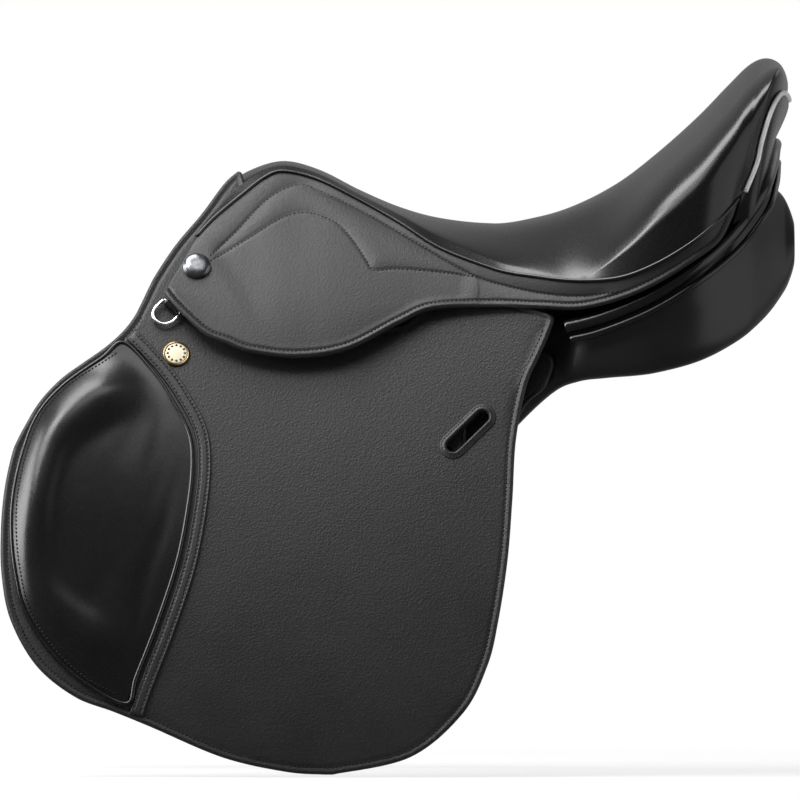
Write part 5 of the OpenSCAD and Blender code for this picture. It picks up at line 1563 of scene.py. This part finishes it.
@dataclass
class Panel:
    """The stuffed panels under the saddle with their welts and the cantle's band."""

    depth: float = 17.0
    thickness: float = 26
    channel_half_w: float = 34
    swell: float = 0.22
    bulge: float = 0.35
    welt_r: float = 2.4
    band_r: float = 5.0
    end: float = 0.02
    blur: float = 0.05
    blur_along: Row = (0.66, 0.80)
    stations: Pairs = (
        (-0.335, 0.43, 0.52, 0, -0.3, 0.5, 1.3), (-0.3, 0.27, 0.68, 0, -0.3, 0.5, 1.25),
        (-0.2, 0.12, 0.78, 0, -0.3, 0.6, 1.3), (-0.11, 0.04, 0.8, 0, -0.3, 0.7, 1.5),
        (-0.03, -0.01, 0.8, 0.1, -0.3, 0.8, 1.55), (0.06, -0.02, 0.77, 0.5, -0.28, 0.9, 1.55),
        (0.16, -0.02, 0.7, 1, -0.26, 1, 1.55), (0.283, -0.02, 0.56, 1, -0.25, 1, 1.5),
        (0.4, -0.01, 0.4, 1, -0.24, 1, 1.45), (0.48, 0.02, 0.28, 1, -0.22, 1.1, 1.25),
        (0.56, 0.025, 0.19, 1, -0.18, 1.2, 1.15), (0.61, 0.02, 0.163, 1, -0.14, 1.3, 0.75),
        (0.67, -0.01, 0.154, 1, -0.08, 1.4, 0.62), (0.75, -0.12, 0.144, 1, 0, 1.5, 0.6),
        (0.85, -0.37, 0.111, 1, 0.13, 1.7, 0.6), (0.93, -0.7, 0.056, 1, 0.26, 2, 0.6),
        (0.962, -0.8, 0.013, 1, 0.34, 1.8, 0.6), (0.985, -0.76, -0.076, 1, 0.42, 1.3, 0.6),
        (1, -0.655, -0.16, 1, 0.46, 0.8, 0.62), (1.009, -0.53, -0.32, 1, 0.46, 0.3, 0.7))
    band_side: Pairs = ((0.586, -0.151), (0.65, -0.089), (0.741, 0.055), (0.832, 0.28), (0.896, 0.5))
    band_back: Pairs = ((0.945, 0.77, 0.89), (0.964, 0.96, 0.61), (0.971, 1.085, 0.3), (0.974, 1.112, 0))
    welt_side: Pairs = ((0.595, -0.236), (0.65, -0.185), (0.741, -0.045), (0.832, 0.165), (0.903, 0.385))
    welt_back: Pairs = ((0.955, 0.64, 0.91), (0.973, 0.83, 0.63), (0.978, 0.965, 0.3), (0.98, 0.99, 0))

    def loops(self, q: Array) -> Array:
        """Eight corner points of each section.

        Args:
            q: station rows.

        Returns:
            Points by row and corner.
        """
        x, zt, zb = FORM.seat_x(q[:, 0]), FORM.drop_z(q[:, 1]), FORM.drop_z(q[:, 2])
        h, w, d, t = zt - zb, q[:, 3:4], -self.depth * q[:, 6], self.thickness
        swell = t * self.bulge * np.maximum(0, 1 - q[:, 6])

        def side(z: Array, out: Array) -> Array:
            return columns(x, -FORM.half_width(x, z) - out, z)
        o_top, o_mid = side(zt, d), side(zb + 0.5 * h, d + swell)
        o_bot, i_bot = side(zb + 0.1 * h, d - 0.08 * t), side(zb, d - 0.6 * t)
        edge = columns(x, np.full_like(x, -self.channel_half_w), FORM.pommel_z * q[:, 4])
        wall = edge + columns(0 * x, 0 * x, t * q[:, 5])
        mid = (i_bot + edge) / 2 - t * self.swell * np.array([0, 1, 1])
        i_mid = side(zb + 0.5 * h, d - 1.1 * t) * (1 - w) + mid * w
        c_low = side(zt - 0.15 * h, d - t) * (1 - w) + edge * w
        c_top = side(zt, d - 0.6 * t) * (1 - w) + wall * w
        return columns(o_top, o_mid, o_bot, i_bot, i_mid, c_low, c_top, (c_top + o_top) / 2)

    def lay(self, u: Array, v: Array) -> Array:
        """Points of the panel's skin at shares round and along."""
        last = len(self.stations) - 1
        steps = np.linspace(-1, 1, 9)
        soft = self.blur * soft_step(v, *self.blur_along)
        ways = (np.clip((v + k * soft - self.end) / (1 - 2 * self.end), 0, 1) for k in steps)
        corner = sum(self.loops(spline(np.array(self.stations), way * last)) for way in ways) / len(steps)
        at = u * 8
        i = np.floor(at).astype(int)
        f = (at - i)[:, None]
        rows = np.arange(len(u))
        a, b, c, d = (corner[rows, (i + k) % 8] for k in (-1, 0, 1, 2))
        p = between(a, b, c, d, f)
        middle = corner.mean(1)
        open_ = np.clip(np.minimum(v, 1 - v) / self.end, 0, 1)
        share = np.sqrt(np.maximum(1 - (1 - open_)**2, 0))
        return middle + (p - middle) * share[:, None]

    @staticmethod
    def route(side: Pairs, back: Pairs, out: float) -> Array:
        """Near half of a roll along the side and round the back, to the centre line."""
        s, b = np.array(side), np.array(back)
        places = columns(FORM.seat_x(s[:, 0]), FORM.pommel_z * s[:, 1])
        first = FORM.place(places, out)
        rest = columns(FORM.seat_x(b[:, 0]), first[-1, 1] * b[:, 2], FORM.pommel_z * b[:, 1])
        return np.concatenate([first, rest])

    def build(self) -> None:
        """Makes the panels, their welts and the band."""
        panel = Bench.grid("panel_leather", 96, 200, self.lay, False)
        Dresser.pair(panel, Finish.PANEL, "panel_leather", stems=["panel"], fill=0.6)
        band = self.route(self.band_side, self.band_back, FORM.skirt_in - FORM.layer_gap - self.band_r)
        band = drawn(np.concatenate([band, (band * OTHER_SIDE)[-2::-1]]), 2.0)
        roll = Bench.tube("cantle_roll", band, self.band_r, sides=6)
        Dresser.dress(roll, Finish.EDGE, "seat_leather", "body", ["cantle_band"])
        welt = self.route(self.welt_side, self.welt_back, FORM.layer_gap / 4)
        Dresser.pair(Bench.tube("panel_welt_cord", drawn(welt, 2.0), self.welt_r), Finish.EDGE, "seat_leather",
                     stems=["panel_welt"])


@dataclass
class Cantle:
    """The cantle's back and its silver piping."""

    back_t: float = 2.4
    piping_r: float = 1.8
    focus_share: float = 0.62
    foot: Pairs = ((0.972, 1.118), (0.877, 0.46))
    foot_half_w: float = 112
    wrap: float = 4.0
    bulge: float = 3.5

    def face(self, seat: Seat, u: Array, down: Array, inside: float) -> Array:
        """Points of the cantle's back.

        Args:
            seat: the seat, whose rear edge it is sewn to.
            u: places across, from -1 to 1.
            down: shares from the piping to the foot.
            inside: depth below the outer face.

        Returns:
            The points.
        """
        last = np.full(len(u), len(seat.stations) - 1.0)
        top = seat.surface(u, last)
        (cx, cz), (ex, ez) = (FORM.on_seat([(s[0], -s[1])])[0] for s in self.foot)
        along = 1 - np.abs(u)**self.wrap
        low = columns(ex + (cx - ex) * along, np.sign(top[:, 1]) * self.foot_half_w * (1 - along**6)**0.6,
                        ez + (cz - ez) * along**2.2)
        end = np.abs(u)**6
        share = down + (np.sqrt(down) - down) * end
        p = top + (low - top) * share[:, None]
        away = unit(columns(p[:, 0] - FORM.seat_x(self.focus_share), p[:, 1], 0 * u))
        proud = self.bulge * np.sin(math.pi * np.sqrt(down)) * along
        return p + (proud - inside + np.where(down > 0, 0, end * FORM.layer_gap))[:, None] * away

    def build(self, seat: Seat) -> None:
        """Makes the back and the piping.

        Args:
            seat: the seat, whose rear edge they follow.
        """
        def lay(u: Array, v: Array) -> Faces:
            w, down = (2 * u - 1) * 0.985, 0.02 + 0.98 * v
            return self.face(seat, w, down, 0.4), self.face(seat, w, down, 0.4 + self.back_t)
        back = Bench.grid("cantle_back_leather", 120, 24, lay)
        Dresser.dress(back, Finish.SEAT, "seat_leather", "body", ["cantle_back"])
        w = np.linspace(-1, 1, 240)
        path = drawn(self.face(seat, w, 0 * w, -self.piping_r - 0.2), 1.5)
        Dresser.dress(Bench.tube("cantle_piping_cord", path, self.piping_r), Finish.SILVER, "piping", "body",
                      ["cantle_piping"])


@dataclass
class UnderLayers:
    """The sweat flap, girth web, girth straps and buckle guard under each flap."""

    sweat_out: float = -13.2
    sweat_t: float = 3
    guard_t: float = 2.5
    web_t: float = 1.5
    web_out: float = -10.5
    strap_t: float = 4
    strap_out: float = -4.9
    strap_w: float = 25
    strap_l: float = 230
    strap_pitch: float = 62
    strap_first: float = 0.495
    strap_top: float = 0.170
    pin_drop: float = 12
    hole_d: float = 5
    hole_pitch: float = 25
    hole_count: int = 7
    sweat: Pairs = (
        (0.979, 0.09), (0.983, 0.158), (0.949, 0.198), (0.913, 0.285), (0.889, 0.461), (0.864, 0.654),
        (0.813, 0.804), (0.722, 0.911), (0.595, 0.958), (0.449, 0.932), (0.304, 0.872), (0.168, 0.804),
        (0.082, 0.718), (0.039, 0.611), (0.024, 0.482), (0.039, 0.354), (0.089, 0.236), (0.168, 0.144),
        (0.249, 0.085), (0.359, 0.075), (0.504, 0.075), (0.686, 0.075), (0.813, 0.078))
    guard: Pairs = (
        (0.45, 0.365), (0.62, 0.357), (0.85, 0.365), (0.872, 0.46), (0.85, 0.6), (0.76, 0.68),
        (0.65, 0.695), (0.54, 0.68), (0.45, 0.6), (0.43, 0.46))

    def strap_x(self, k: float) -> float:
        """Place of a strap along the saddle."""
        return float(FORM.on_flap([(self.strap_first, 0)])[0, 0]) + k * self.strap_pitch

    def build(self) -> None:
        """Makes the layers of both sides."""
        for stem, thread, outline, step, centre, out, edge, rows, rim_rows, finish in (
                ("sweat_flap", "sweat_stitches", self.sweat, 4.0, (0.50, 0.47), self.sweat_out - self.sweat_t,
                 LeatherEdge(self.sweat_t, 1.5, 0.2, 1.6, 0.4, 5.0), 20, 9, Finish.FLAP),
                ("buckle_guard", "guard_stitches", self.guard, 3.0, (0.65, 0.52),
                 -FORM.layer_gap - self.guard_t, LeatherEdge(self.guard_t, 1.3, 0.0, 1.6, 0.35, 4.5), 14, 8,
                 Finish.SKIRT)):
            sheet = LeatherSheet(f"{stem}_leather", drawn(FORM.on_flap(outline), step, True),
                                 FORM.on_flap(centre)[0], out, edge, rows, rim_rows)
            Dresser.pair(sheet.build(), finish, "flap_leather", stems=[stem])
            Dresser.pair(sheet.seam(thread), Finish.THREAD, "flap_leather")
        self.web()
        for k, name in enumerate(("front", "middle", "rear")):
            self.strap(k, name)

    def web(self) -> None:
        """Makes the web that carries the straps, with the straps' pins."""
        x0, x1 = self.strap_x(0) - self.strap_w / 2, self.strap_x(2) + self.strap_w / 2
        z0, z1 = FORM.drop_z([0.085, 0.405])
        edge = LeatherEdge(self.web_t, 0.6)

        def lay(u: Array, v: Array) -> Faces:
            p = columns(x0 + (x1 - x0) * u, z0 + (z1 - z0) * v)
            inset = np.minimum(np.minimum(u, 1 - u) * (x1 - x0), np.minimum(v, 1 - v) * abs(z1 - z0))
            return edge.wrap(p, inset, self.web_out - self.web_t)
        parts = [Bench.grid("girth_webbing", 60, 44, lay)]
        middle = self.strap_out - self.strap_t / 2
        for k in range(3):
            place = np.array([[self.strap_x(k), FORM.drop_z(self.strap_top) - self.pin_drop]])
            parts.append(self.pin(FORM.place(place, middle)[0], np.array([0, -1.0, 0]), 6, 9))
        for k in (0.5, 1.5):
            place = np.array([[self.strap_x(k), FORM.drop_z(0.380)]])
            parts.append(self.pin(FORM.place(place, -8)[0], FORM.outward(place)[0], 6, 7))
        Dresser.pair(Bench.join("girth_webbing", parts), Finish.WEB, "web", stems=["girth_web"])

    @staticmethod
    def pin(at: Array, axis: Array, wide: float, long: float) -> Piece:
        """Makes a short pin with a rounded rim about a point."""
        Bench.clear()
        bpy.ops.mesh.primitive_cylinder_add(vertices=24, radius=wide / 2 * MM, depth=long * MM)
        obj = bpy.context.object
        Bench.modify(obj, "BEVEL", width=0.6 * MM, segments=2, limit_method="ANGLE")
        side = unit(np.cross(axis, [1.0, 0.2, 0.1]))
        turn = np.stack([side, np.cross(axis, side), axis])
        Bench.write(obj, Bench.read(obj) / MM @ turn + at)
        return Bench.close(obj, 40)

    def strap(self, k: int, name: str) -> None:
        """Makes one girth strap on each side, with its holes and stitches.

        Args:
            k: its number from the front.
            name: its name in the frame.
        """
        x, top = self.strap_x(k), float(FORM.drop_z(self.strap_top))
        edge = LeatherEdge(self.strap_t, 1.0, 0.0, 1.0, 0.3, 2.6, 0.6)
        inner_out = self.strap_out - self.strap_t
        half, tip = self.strap_w / 2, 14.0

        def at(u: Array, v: Array) -> Faces:
            down = v * self.strap_l
            left = np.clip(self.strap_l - down, 0, tip) / tip
            wide = half * (0.35 + 0.65 * np.sqrt(1 - (1 - left)**2))
            p = columns(x + (2 * u - 1) * wide, top - down)
            inset = np.minimum((1 - np.abs(2 * u - 1)) * wide, np.minimum(down, self.strap_l - down))
            return p, inset

        def lay(u: Array, v: Array) -> Faces:
            return edge.wrap(*at(u, v), inner_out)
        strap = Bench.grid(f"strap_{name}_leather", 20, 120, lay)
        holes = []
        for h in range(1, self.hole_count + 1):
            place = np.array([[x, top - self.strap_l + self.hole_pitch * (h + 0.4)]])
            holes.append(self.pin(FORM.place(place, self.strap_out - 2)[0], FORM.outward(place)[0],
                                  self.hole_d, 14))
        place = np.array([[x, top - self.pin_drop]])
        holes.append(self.pin(FORM.place(place, self.strap_out - 2)[0], np.array([0, -1.0, 0]), 6.1, 18))
        Bench.cut(strap, Bench.join("holes", holes), 45)
        body = f"strap_{name}"
        Dresser.pair(strap, Finish.STRAP, "strap_leather", body, [f"girth_strap_{name}"])
        runs = []
        for u in (-1, 1):
            v = np.linspace(0.02, 0.93, 160)
            p, _ = at(0.5 + u * (half - edge.groove_at) / self.strap_w + 0 * v, v)
            outer, _ = edge.faces(np.array([edge.groove_at]))
            runs.append(SADDLE_STITCH.on_form("run", p, inner_out + outer))
        Dresser.pair(Bench.join(f"strap_{name}_stitches", runs), Finish.THREAD, "strap_leather", body)


@dataclass
class PommelLining:
    """The leather that lines the arch under the pommel."""

    thickness: float = 2.5
    back: float = 26
    inside: float = -21.2
    front: Pairs = ((0.2822, -0.09), (0.3051, 0.05), (0.3299, 0.22), (0.3469, 0.34), (0.3578, 0.42))
    top_share: float = 0.455

    def arch(self, back: float, out: float, top: float) -> Array:
        """Points over the arch from the near foot to the off foot."""
        s = np.array(self.front)
        x = FORM.on_flap(columns(s[:, 0], 0 * s[:, 0]))[:, 0] + back
        left = FORM.place(columns(x, FORM.pommel_z * s[:, 1]), out)
        return np.concatenate([left, [[x[-1], 0, top]], (left * OTHER_SIDE)[::-1]])

    def build(self) -> None:
        """Makes the lining."""
        top, t = FORM.pommel_z * self.top_share, self.thickness
        low = top - t - 1.5
        outer = ((0, -0.8, top), (0, -12, top - 2), (0.6, self.inside + 1.5, low + 0.5), (4, self.inside, low),
                 (self.back, self.inside, low))
        inner = ((t, -0.8, top + 0.4), (t, -12, top + 0.4), (t + 0.6, self.inside + t + 0.5, top - 1.5),
                 (t + 2, self.inside + t, top - 1.5), (self.back, self.inside + t, top - 1.5))
        faces = [np.stack([self.arch(*row) for row in rows]) for rows in (outer, inner)]

        def lay(u: Array, v: Array) -> Faces:
            made = []
            for rows in faces:
                arcs = np.stack([spline(r, u * (len(r) - 1)) for r in rows], axis=1)
                at = v * (len(rows) - 1)
                i = np.clip(np.floor(at).astype(int), 0, len(rows) - 2)
                f = (at - i)[:, None]
                k = np.arange(len(u))
                made.append(arcs[k, i] * (1 - f) + arcs[k, i + 1] * f)
            return made[0], made[1]
        Dresser.dress(Bench.grid("pommel_lining_leather", 120, 32, lay), Finish.LINING, "flap_leather", "body",
                      ["head_lining"])


@dataclass
class Fittings:
    """The nails, studs, front rings and the rings' tabs."""

    head_d: float = 20
    head_h: float = 3.5
    shank_d: float = 3
    nail_share: Row = (-0.0869, -0.200)
    nail_v: float = 0.52
    stud_share: Row = (0.316, 0.111)
    ring_share: Row = (0.309, 0.014)
    ring_turn: float = -43
    wire_d: float = 3
    ring_w: float = 14
    ring_l: float = 15
    tab_wall: float = 1.5
    dots: int = 12

    @staticmethod
    def axes(place: Array) -> Array:
        """Rows of the frame on the side form: backwards, up and outwards."""
        n = FORM.outward(place)[0]
        back = unit(np.array([1, n[0] / -n[1], 0]))
        return np.stack([back, np.cross(n, back), n])

    def head(self, rings: Pairs, at: Array, axes: Array, shank: float) -> Piece:
        """Turns a nail's head and shank.

        Args:
            rings: radius and height of each ring from the foot to the crown.
            at: point under the head.
            axes: rows of the frame there.
            shank: length of the shank.

        Returns:
            The piece.
        """
        r = np.array(((0.0, -shank), (self.shank_d / 2, -shank), (self.shank_d / 2, 0.0), *rings))

        def lay(u: Array, v: Array) -> Array:
            k = np.round(v * (len(r) - 1)).astype(int)
            a = 2 * math.pi * u
            local = columns(r[k, 0] * np.cos(a), r[k, 0] * np.sin(a), r[k, 1])
            return at + local @ axes
        return Bench.close(Bench.grid("head", 64, len(r) - 1, lay, False), 35)

    def build(self, skirt: Skirt) -> None:
        """Makes all the fittings.

        Args:
            skirt: the skirt that the nails go through.
        """
        place = FORM.on_seat(self.nail_share)
        out = float(skirt.stand(place[:, 0], np.array([self.nail_v]))[0]) + FORM.skirt_t + 1.0
        r, h = self.head_d / 2, self.head_h
        dome = [(r - 1.0, 0.0), (r - 0.2, 0.1), (r, 0.5), (r - 0.1, 0.9), (r - 0.5, 1.2)]
        dome += [((r - 0.5) * math.cos(a), 1.2 + (h - 0.9) * math.sin(a)) for a in np.linspace(0.12, 1.571, 12)]
        nail = self.head(dome, FORM.place(place, out)[0], self.axes(place), FORM.skirt_t)
        other = Bench.mirrored(nail, "nail_off")
        Dresser.dress(Bench.join("skirt_nail_heads", [nail, other]), Finish.NAIL, "nail_chrome", "body",
                      ["skirt_nails"])
        self.stud()
        self.ring()

    def stud(self) -> None:
        """Makes the studs with their pale faces and ring of dots."""
        place = FORM.on_flap(self.stud_share)
        at, axes = FORM.place(place, FORM.flap_t + 0.1)[0], self.axes(place)
        r = self.head_d / 2
        rim = self.head([(r - 1, 0), (r - 0.2, 0.1), (r, 0.6), (r - 0.4, 1.2), (r - 1.2, 1.5), (r - 1.9, 1.3),
                         (r - 2.2, 1.0), (0, 1.0)], at, axes, FORM.flap_t)
        rim.name = "stud_rim"
        Dresser.pair(rim, Finish.BRASS, "stud_brass", "flap", ["flap_stud"])
        f = r - 2.1
        face = self.head([(f, 0.9), (f, 1.5), (f - 0.3, 1.8), (f - 0.9, 2.0), (f - 2.8, 2.1), (f - 4.0, 2.25),
                          (f - 5.5, 2.4), (1.0, 2.5), (0, 2.5)], at, axes, 0.0)
        face.name = "stud_face"
        Dresser.pair(face, Finish.ENAMEL, "stud_brass", "flap")
        parts = []
        for k in range(self.dots):
            a = 2 * math.pi * k / self.dots
            centre = at + np.array([(f - 1.7) * math.cos(a), (f - 1.7) * math.sin(a), 2.0]) @ axes
            parts.append(UnderLayers.pin(centre, axes[2], 1.9, 0.5))
        dots = Bench.join("stud_dots", parts)
        Dresser.pair(dots, Finish.EDGE, "stud_brass", "flap")

    def ring(self) -> None:
        """Makes the front rings and their folded tabs."""
        place = FORM.on_flap(self.ring_share)
        wire = self.wire_d / 2
        out = FORM.flap_t + 0.5 + self.tab_wall + 0.1 + wire
        turn = math.radians(self.ring_turn)
        base = self.axes(place)
        axes = np.stack([base[0] * math.cos(turn) + base[1] * math.sin(turn),
                         base[1] * math.cos(turn) - base[0] * math.sin(turn), base[2]])
        at = FORM.place(place, out)[0]
        wide, leg = self.ring_w / 2 + wire, self.ring_l - self.ring_w / 2
        a = np.linspace(0, math.pi, 40)
        bend = 2.0
        left = [(-wide + bend - bend * math.cos(t), bend * math.sin(t) - bend)
                for t in np.linspace(0, math.pi / 2, 7)]
        path = left + [(-x, y) for x, y in left[::-1]]
        path += [(wide * math.cos(t), -leg - wide * math.sin(t)) for t in a]
        loop = np.array([(x, y, 0.0) for x, y in path])
        ring = Bench.tube("front_ring_wire", at + drawn(loop, 0.9, True) @ axes, wire, True, 5)
        Dresser.pair(ring, Finish.CHROME, "ring_chrome", "ring", ["front_ring"])
        self.tab(at, axes, wire + 0.1)

    def tab(self, at: Array, axes: Array, r: float) -> None:
        """Makes the tab folded round a ring's bar.

        Args:
            at: middle of the bar.
            axes: rows of the frame there.
            r: radius of the fold's inside.
        """
        t, wide, long = self.tab_wall, self.ring_w - 1.0, 1.5 * self.ring_w
        mid = r + t / 2
        fold = [(mid * math.cos(k), mid * math.sin(k)) for k in np.linspace(0.12 * math.pi, 1.5 * math.pi, 30)]
        path = np.array(fold + [(y, -mid) for y in np.linspace(0.6, long, 16)])
        n = len(path) - 1
        ahead = unit(np.gradient(path, axis=0))
        across = leftward(ahead)
        edge = LeatherEdge(t, 0.6)

        def lay(u: Array, v: Array) -> Faces:
            i = np.round(u * n).astype(int)
            outer, inner = edge.faces(np.minimum(np.minimum(v, 1 - v) * wide, np.minimum(u, 1 - u) * 40))
            made = []
            for h in (outer - t / 2, inner - t / 2):
                y = path[i] + across[i] * h[:, None]
                made.append(at + columns((v - 0.5) * wide, y[:, 0], y[:, 1]) @ axes)
            return made[0], made[1]
        tab = Bench.grid("ring_tab_leather", n, 16, lay)
        Dresser.pair(tab, Finish.EDGE, "flap_leather", stems=["ring_tab"])


@dataclass
class Tree:
    """The rigid tree, its springs, webs and bars, which keep the frame's own meshes."""

    finishes: Sequence[tuple[str, Finish]] = (
        ("tree_", Finish.WOOD), ("gullet_plate", Finish.SPRING), ("spring_", Finish.SPRING),
        ("seat_web_", Finish.WEB), ("stirrup_bar_", Finish.STEEL),
        ("bar_catch_", Finish.STEEL), ("bar_rivets", Finish.STEEL))

    def build(self, nodes: dict[str, Piece]) -> None:
        """Gives the frame's own meshes their finishes.

        Args:
            nodes: the frame's nodes by name.
        """
        for name, obj in nodes.items():
            for stem, finish in self.finishes:
                if name.startswith(stem):
                    obj.data.materials.clear()
                    obj.data.materials.append(finish.material)
                    LOG.info("%s: %s", name, finish.name.lower())


@dataclass
class Studio:
    """Plain soft light, a pale floor and the camera square to the saddle's near side."""

    distance: float = 14.0
    frame_w: float = 0.576
    frame_plane: float = -0.10
    centre_z: float = -0.068
    world_strength: float = 0.10
    back_gloss: Pairs = ((-0.25, 0.02), (0.75, 0.28))
    floor_glow: Pairs = ((0.3, 0.8), (1.2, 1))
    floor_gap: float = 0.002
    lamps: dict[str, tuple[float, float, Row]] = field(default_factory=lambda: {
        "key": (9, 0.45, (-0.75, -0.6, 0.95)), "front": (1.2, 0.35, (-0.1, -0.45, 0.55)),
        "side": (46, 1.2, (-2.0, -0.4, 0.8)), "over": (34, 1.1, (-0.75, -0.05, 2.0)),
        "fill": (12, 2.2, (2.1, -0.8, 0.3)), "rear": (3, 1.2, (1.6, 1.5, 1.5))})

    def build(self) -> None:
        """Sets the stage."""
        scene = bpy.context.scene
        scene.view_settings.view_transform = "Standard"
        lens = bpy.data.cameras.new("camera")
        lens.sensor_width = 36
        lens.lens = 36 * self.distance / self.frame_w
        lens.clip_start, lens.clip_end = 0.1, 60
        camera = bpy.data.objects.new("camera", lens)
        camera.location = (0, self.frame_plane - self.distance, self.centre_z)
        camera.rotation_euler = (math.pi / 2, 0, 0)
        scene.collection.objects.link(camera)
        scene.camera = camera
        for name, (power, size, at) in self.lamps.items():
            self.lamp(name, power, size, at)
        scene.world = self.sky()
        self.floor()

    def lamp(self, name: str, power: float, size: float, at: Row) -> None:
        """Hangs one square lamp that faces the saddle."""
        light = bpy.data.lights.new(name, "AREA")
        light.energy, light.size = power, size
        obj = bpy.data.objects.new(name, light)
        obj.location = at
        obj.visible_camera = False
        aim = unit(np.array(at, float))
        obj.rotation_euler = (math.acos(aim[2]), 0, math.atan2(aim[1], aim[0]) + math.pi / 2)
        bpy.context.scene.collection.objects.link(obj)

    def sky(self) -> bpy.types.World:
        """Gives a dim sky that the camera sees as white, and gloss sees as paler towards the back."""
        world = bpy.data.worlds.new("studio")
        g = Graph(world)
        path, seen_by = g.rays()
        back = g.add("SeparateXYZ", {"0": g.add("TexCoord").outputs["Generated"]}).outputs["Y"]
        share = g.math("MULTIPLY_ADD", path["Is Glossy Ray"], g.fade(back, *self.back_gloss), seen_by)
        dim = g.add("Background", {"Color": (0.95, 0.97, 1, 1), "Strength": self.world_strength})
        g.show(share, dim, g.add("Background", {"Color": (1, 1, 1, 1)}), "OutputWorld")
        return world

    def floor(self) -> None:
        """Lays a pale floor under the saddle that keeps its shadow."""
        Bench.clear()
        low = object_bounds()[0].z
        bpy.ops.mesh.primitive_plane_add(size=60, location=(0, 0, low - self.floor_gap))
        floor = Bench.named("floor")
        material = bpy.data.materials.new("pale_floor")
        g = Graph(material)
        _, seen_by = g.rays()
        place = g.add("TexCoord").outputs["Object"]
        far = g.add("VectorMath", {"0": place}, operation="LENGTH").outputs["Value"]
        share = g.math("MULTIPLY", seen_by, g.fade(far, *self.floor_glow))
        matt = g.add("BsdfDiffuse", {"Color": (0.9, 0.9, 0.9, 1)})
        g.show(share, matt, g.add("Emission", {"Color": (1, 1, 1, 1)}), "OutputMaterial")
        floor.data.materials.append(material)
        floor.visible_glossy = False
        floor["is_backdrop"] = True


def main() -> None:
    """Builds the saddle's pieces in order and reports each of them."""
    logging.basicConfig(level=logging.INFO, format="%(name)s: %(message)s")
    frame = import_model()
    Studio().build()
    seat, skirt = Seat(), Skirt()
    seat.build()
    skirt.build(seat)
    Flap().build()
    KneePad().build()
    Panel().build()
    Cantle().build(seat)
    UnderLayers().build()
    PommelLining().build()
    Fittings().build(skirt)
    Tree().build(frame["nodes"])


if __name__ == "__main__":
    main()
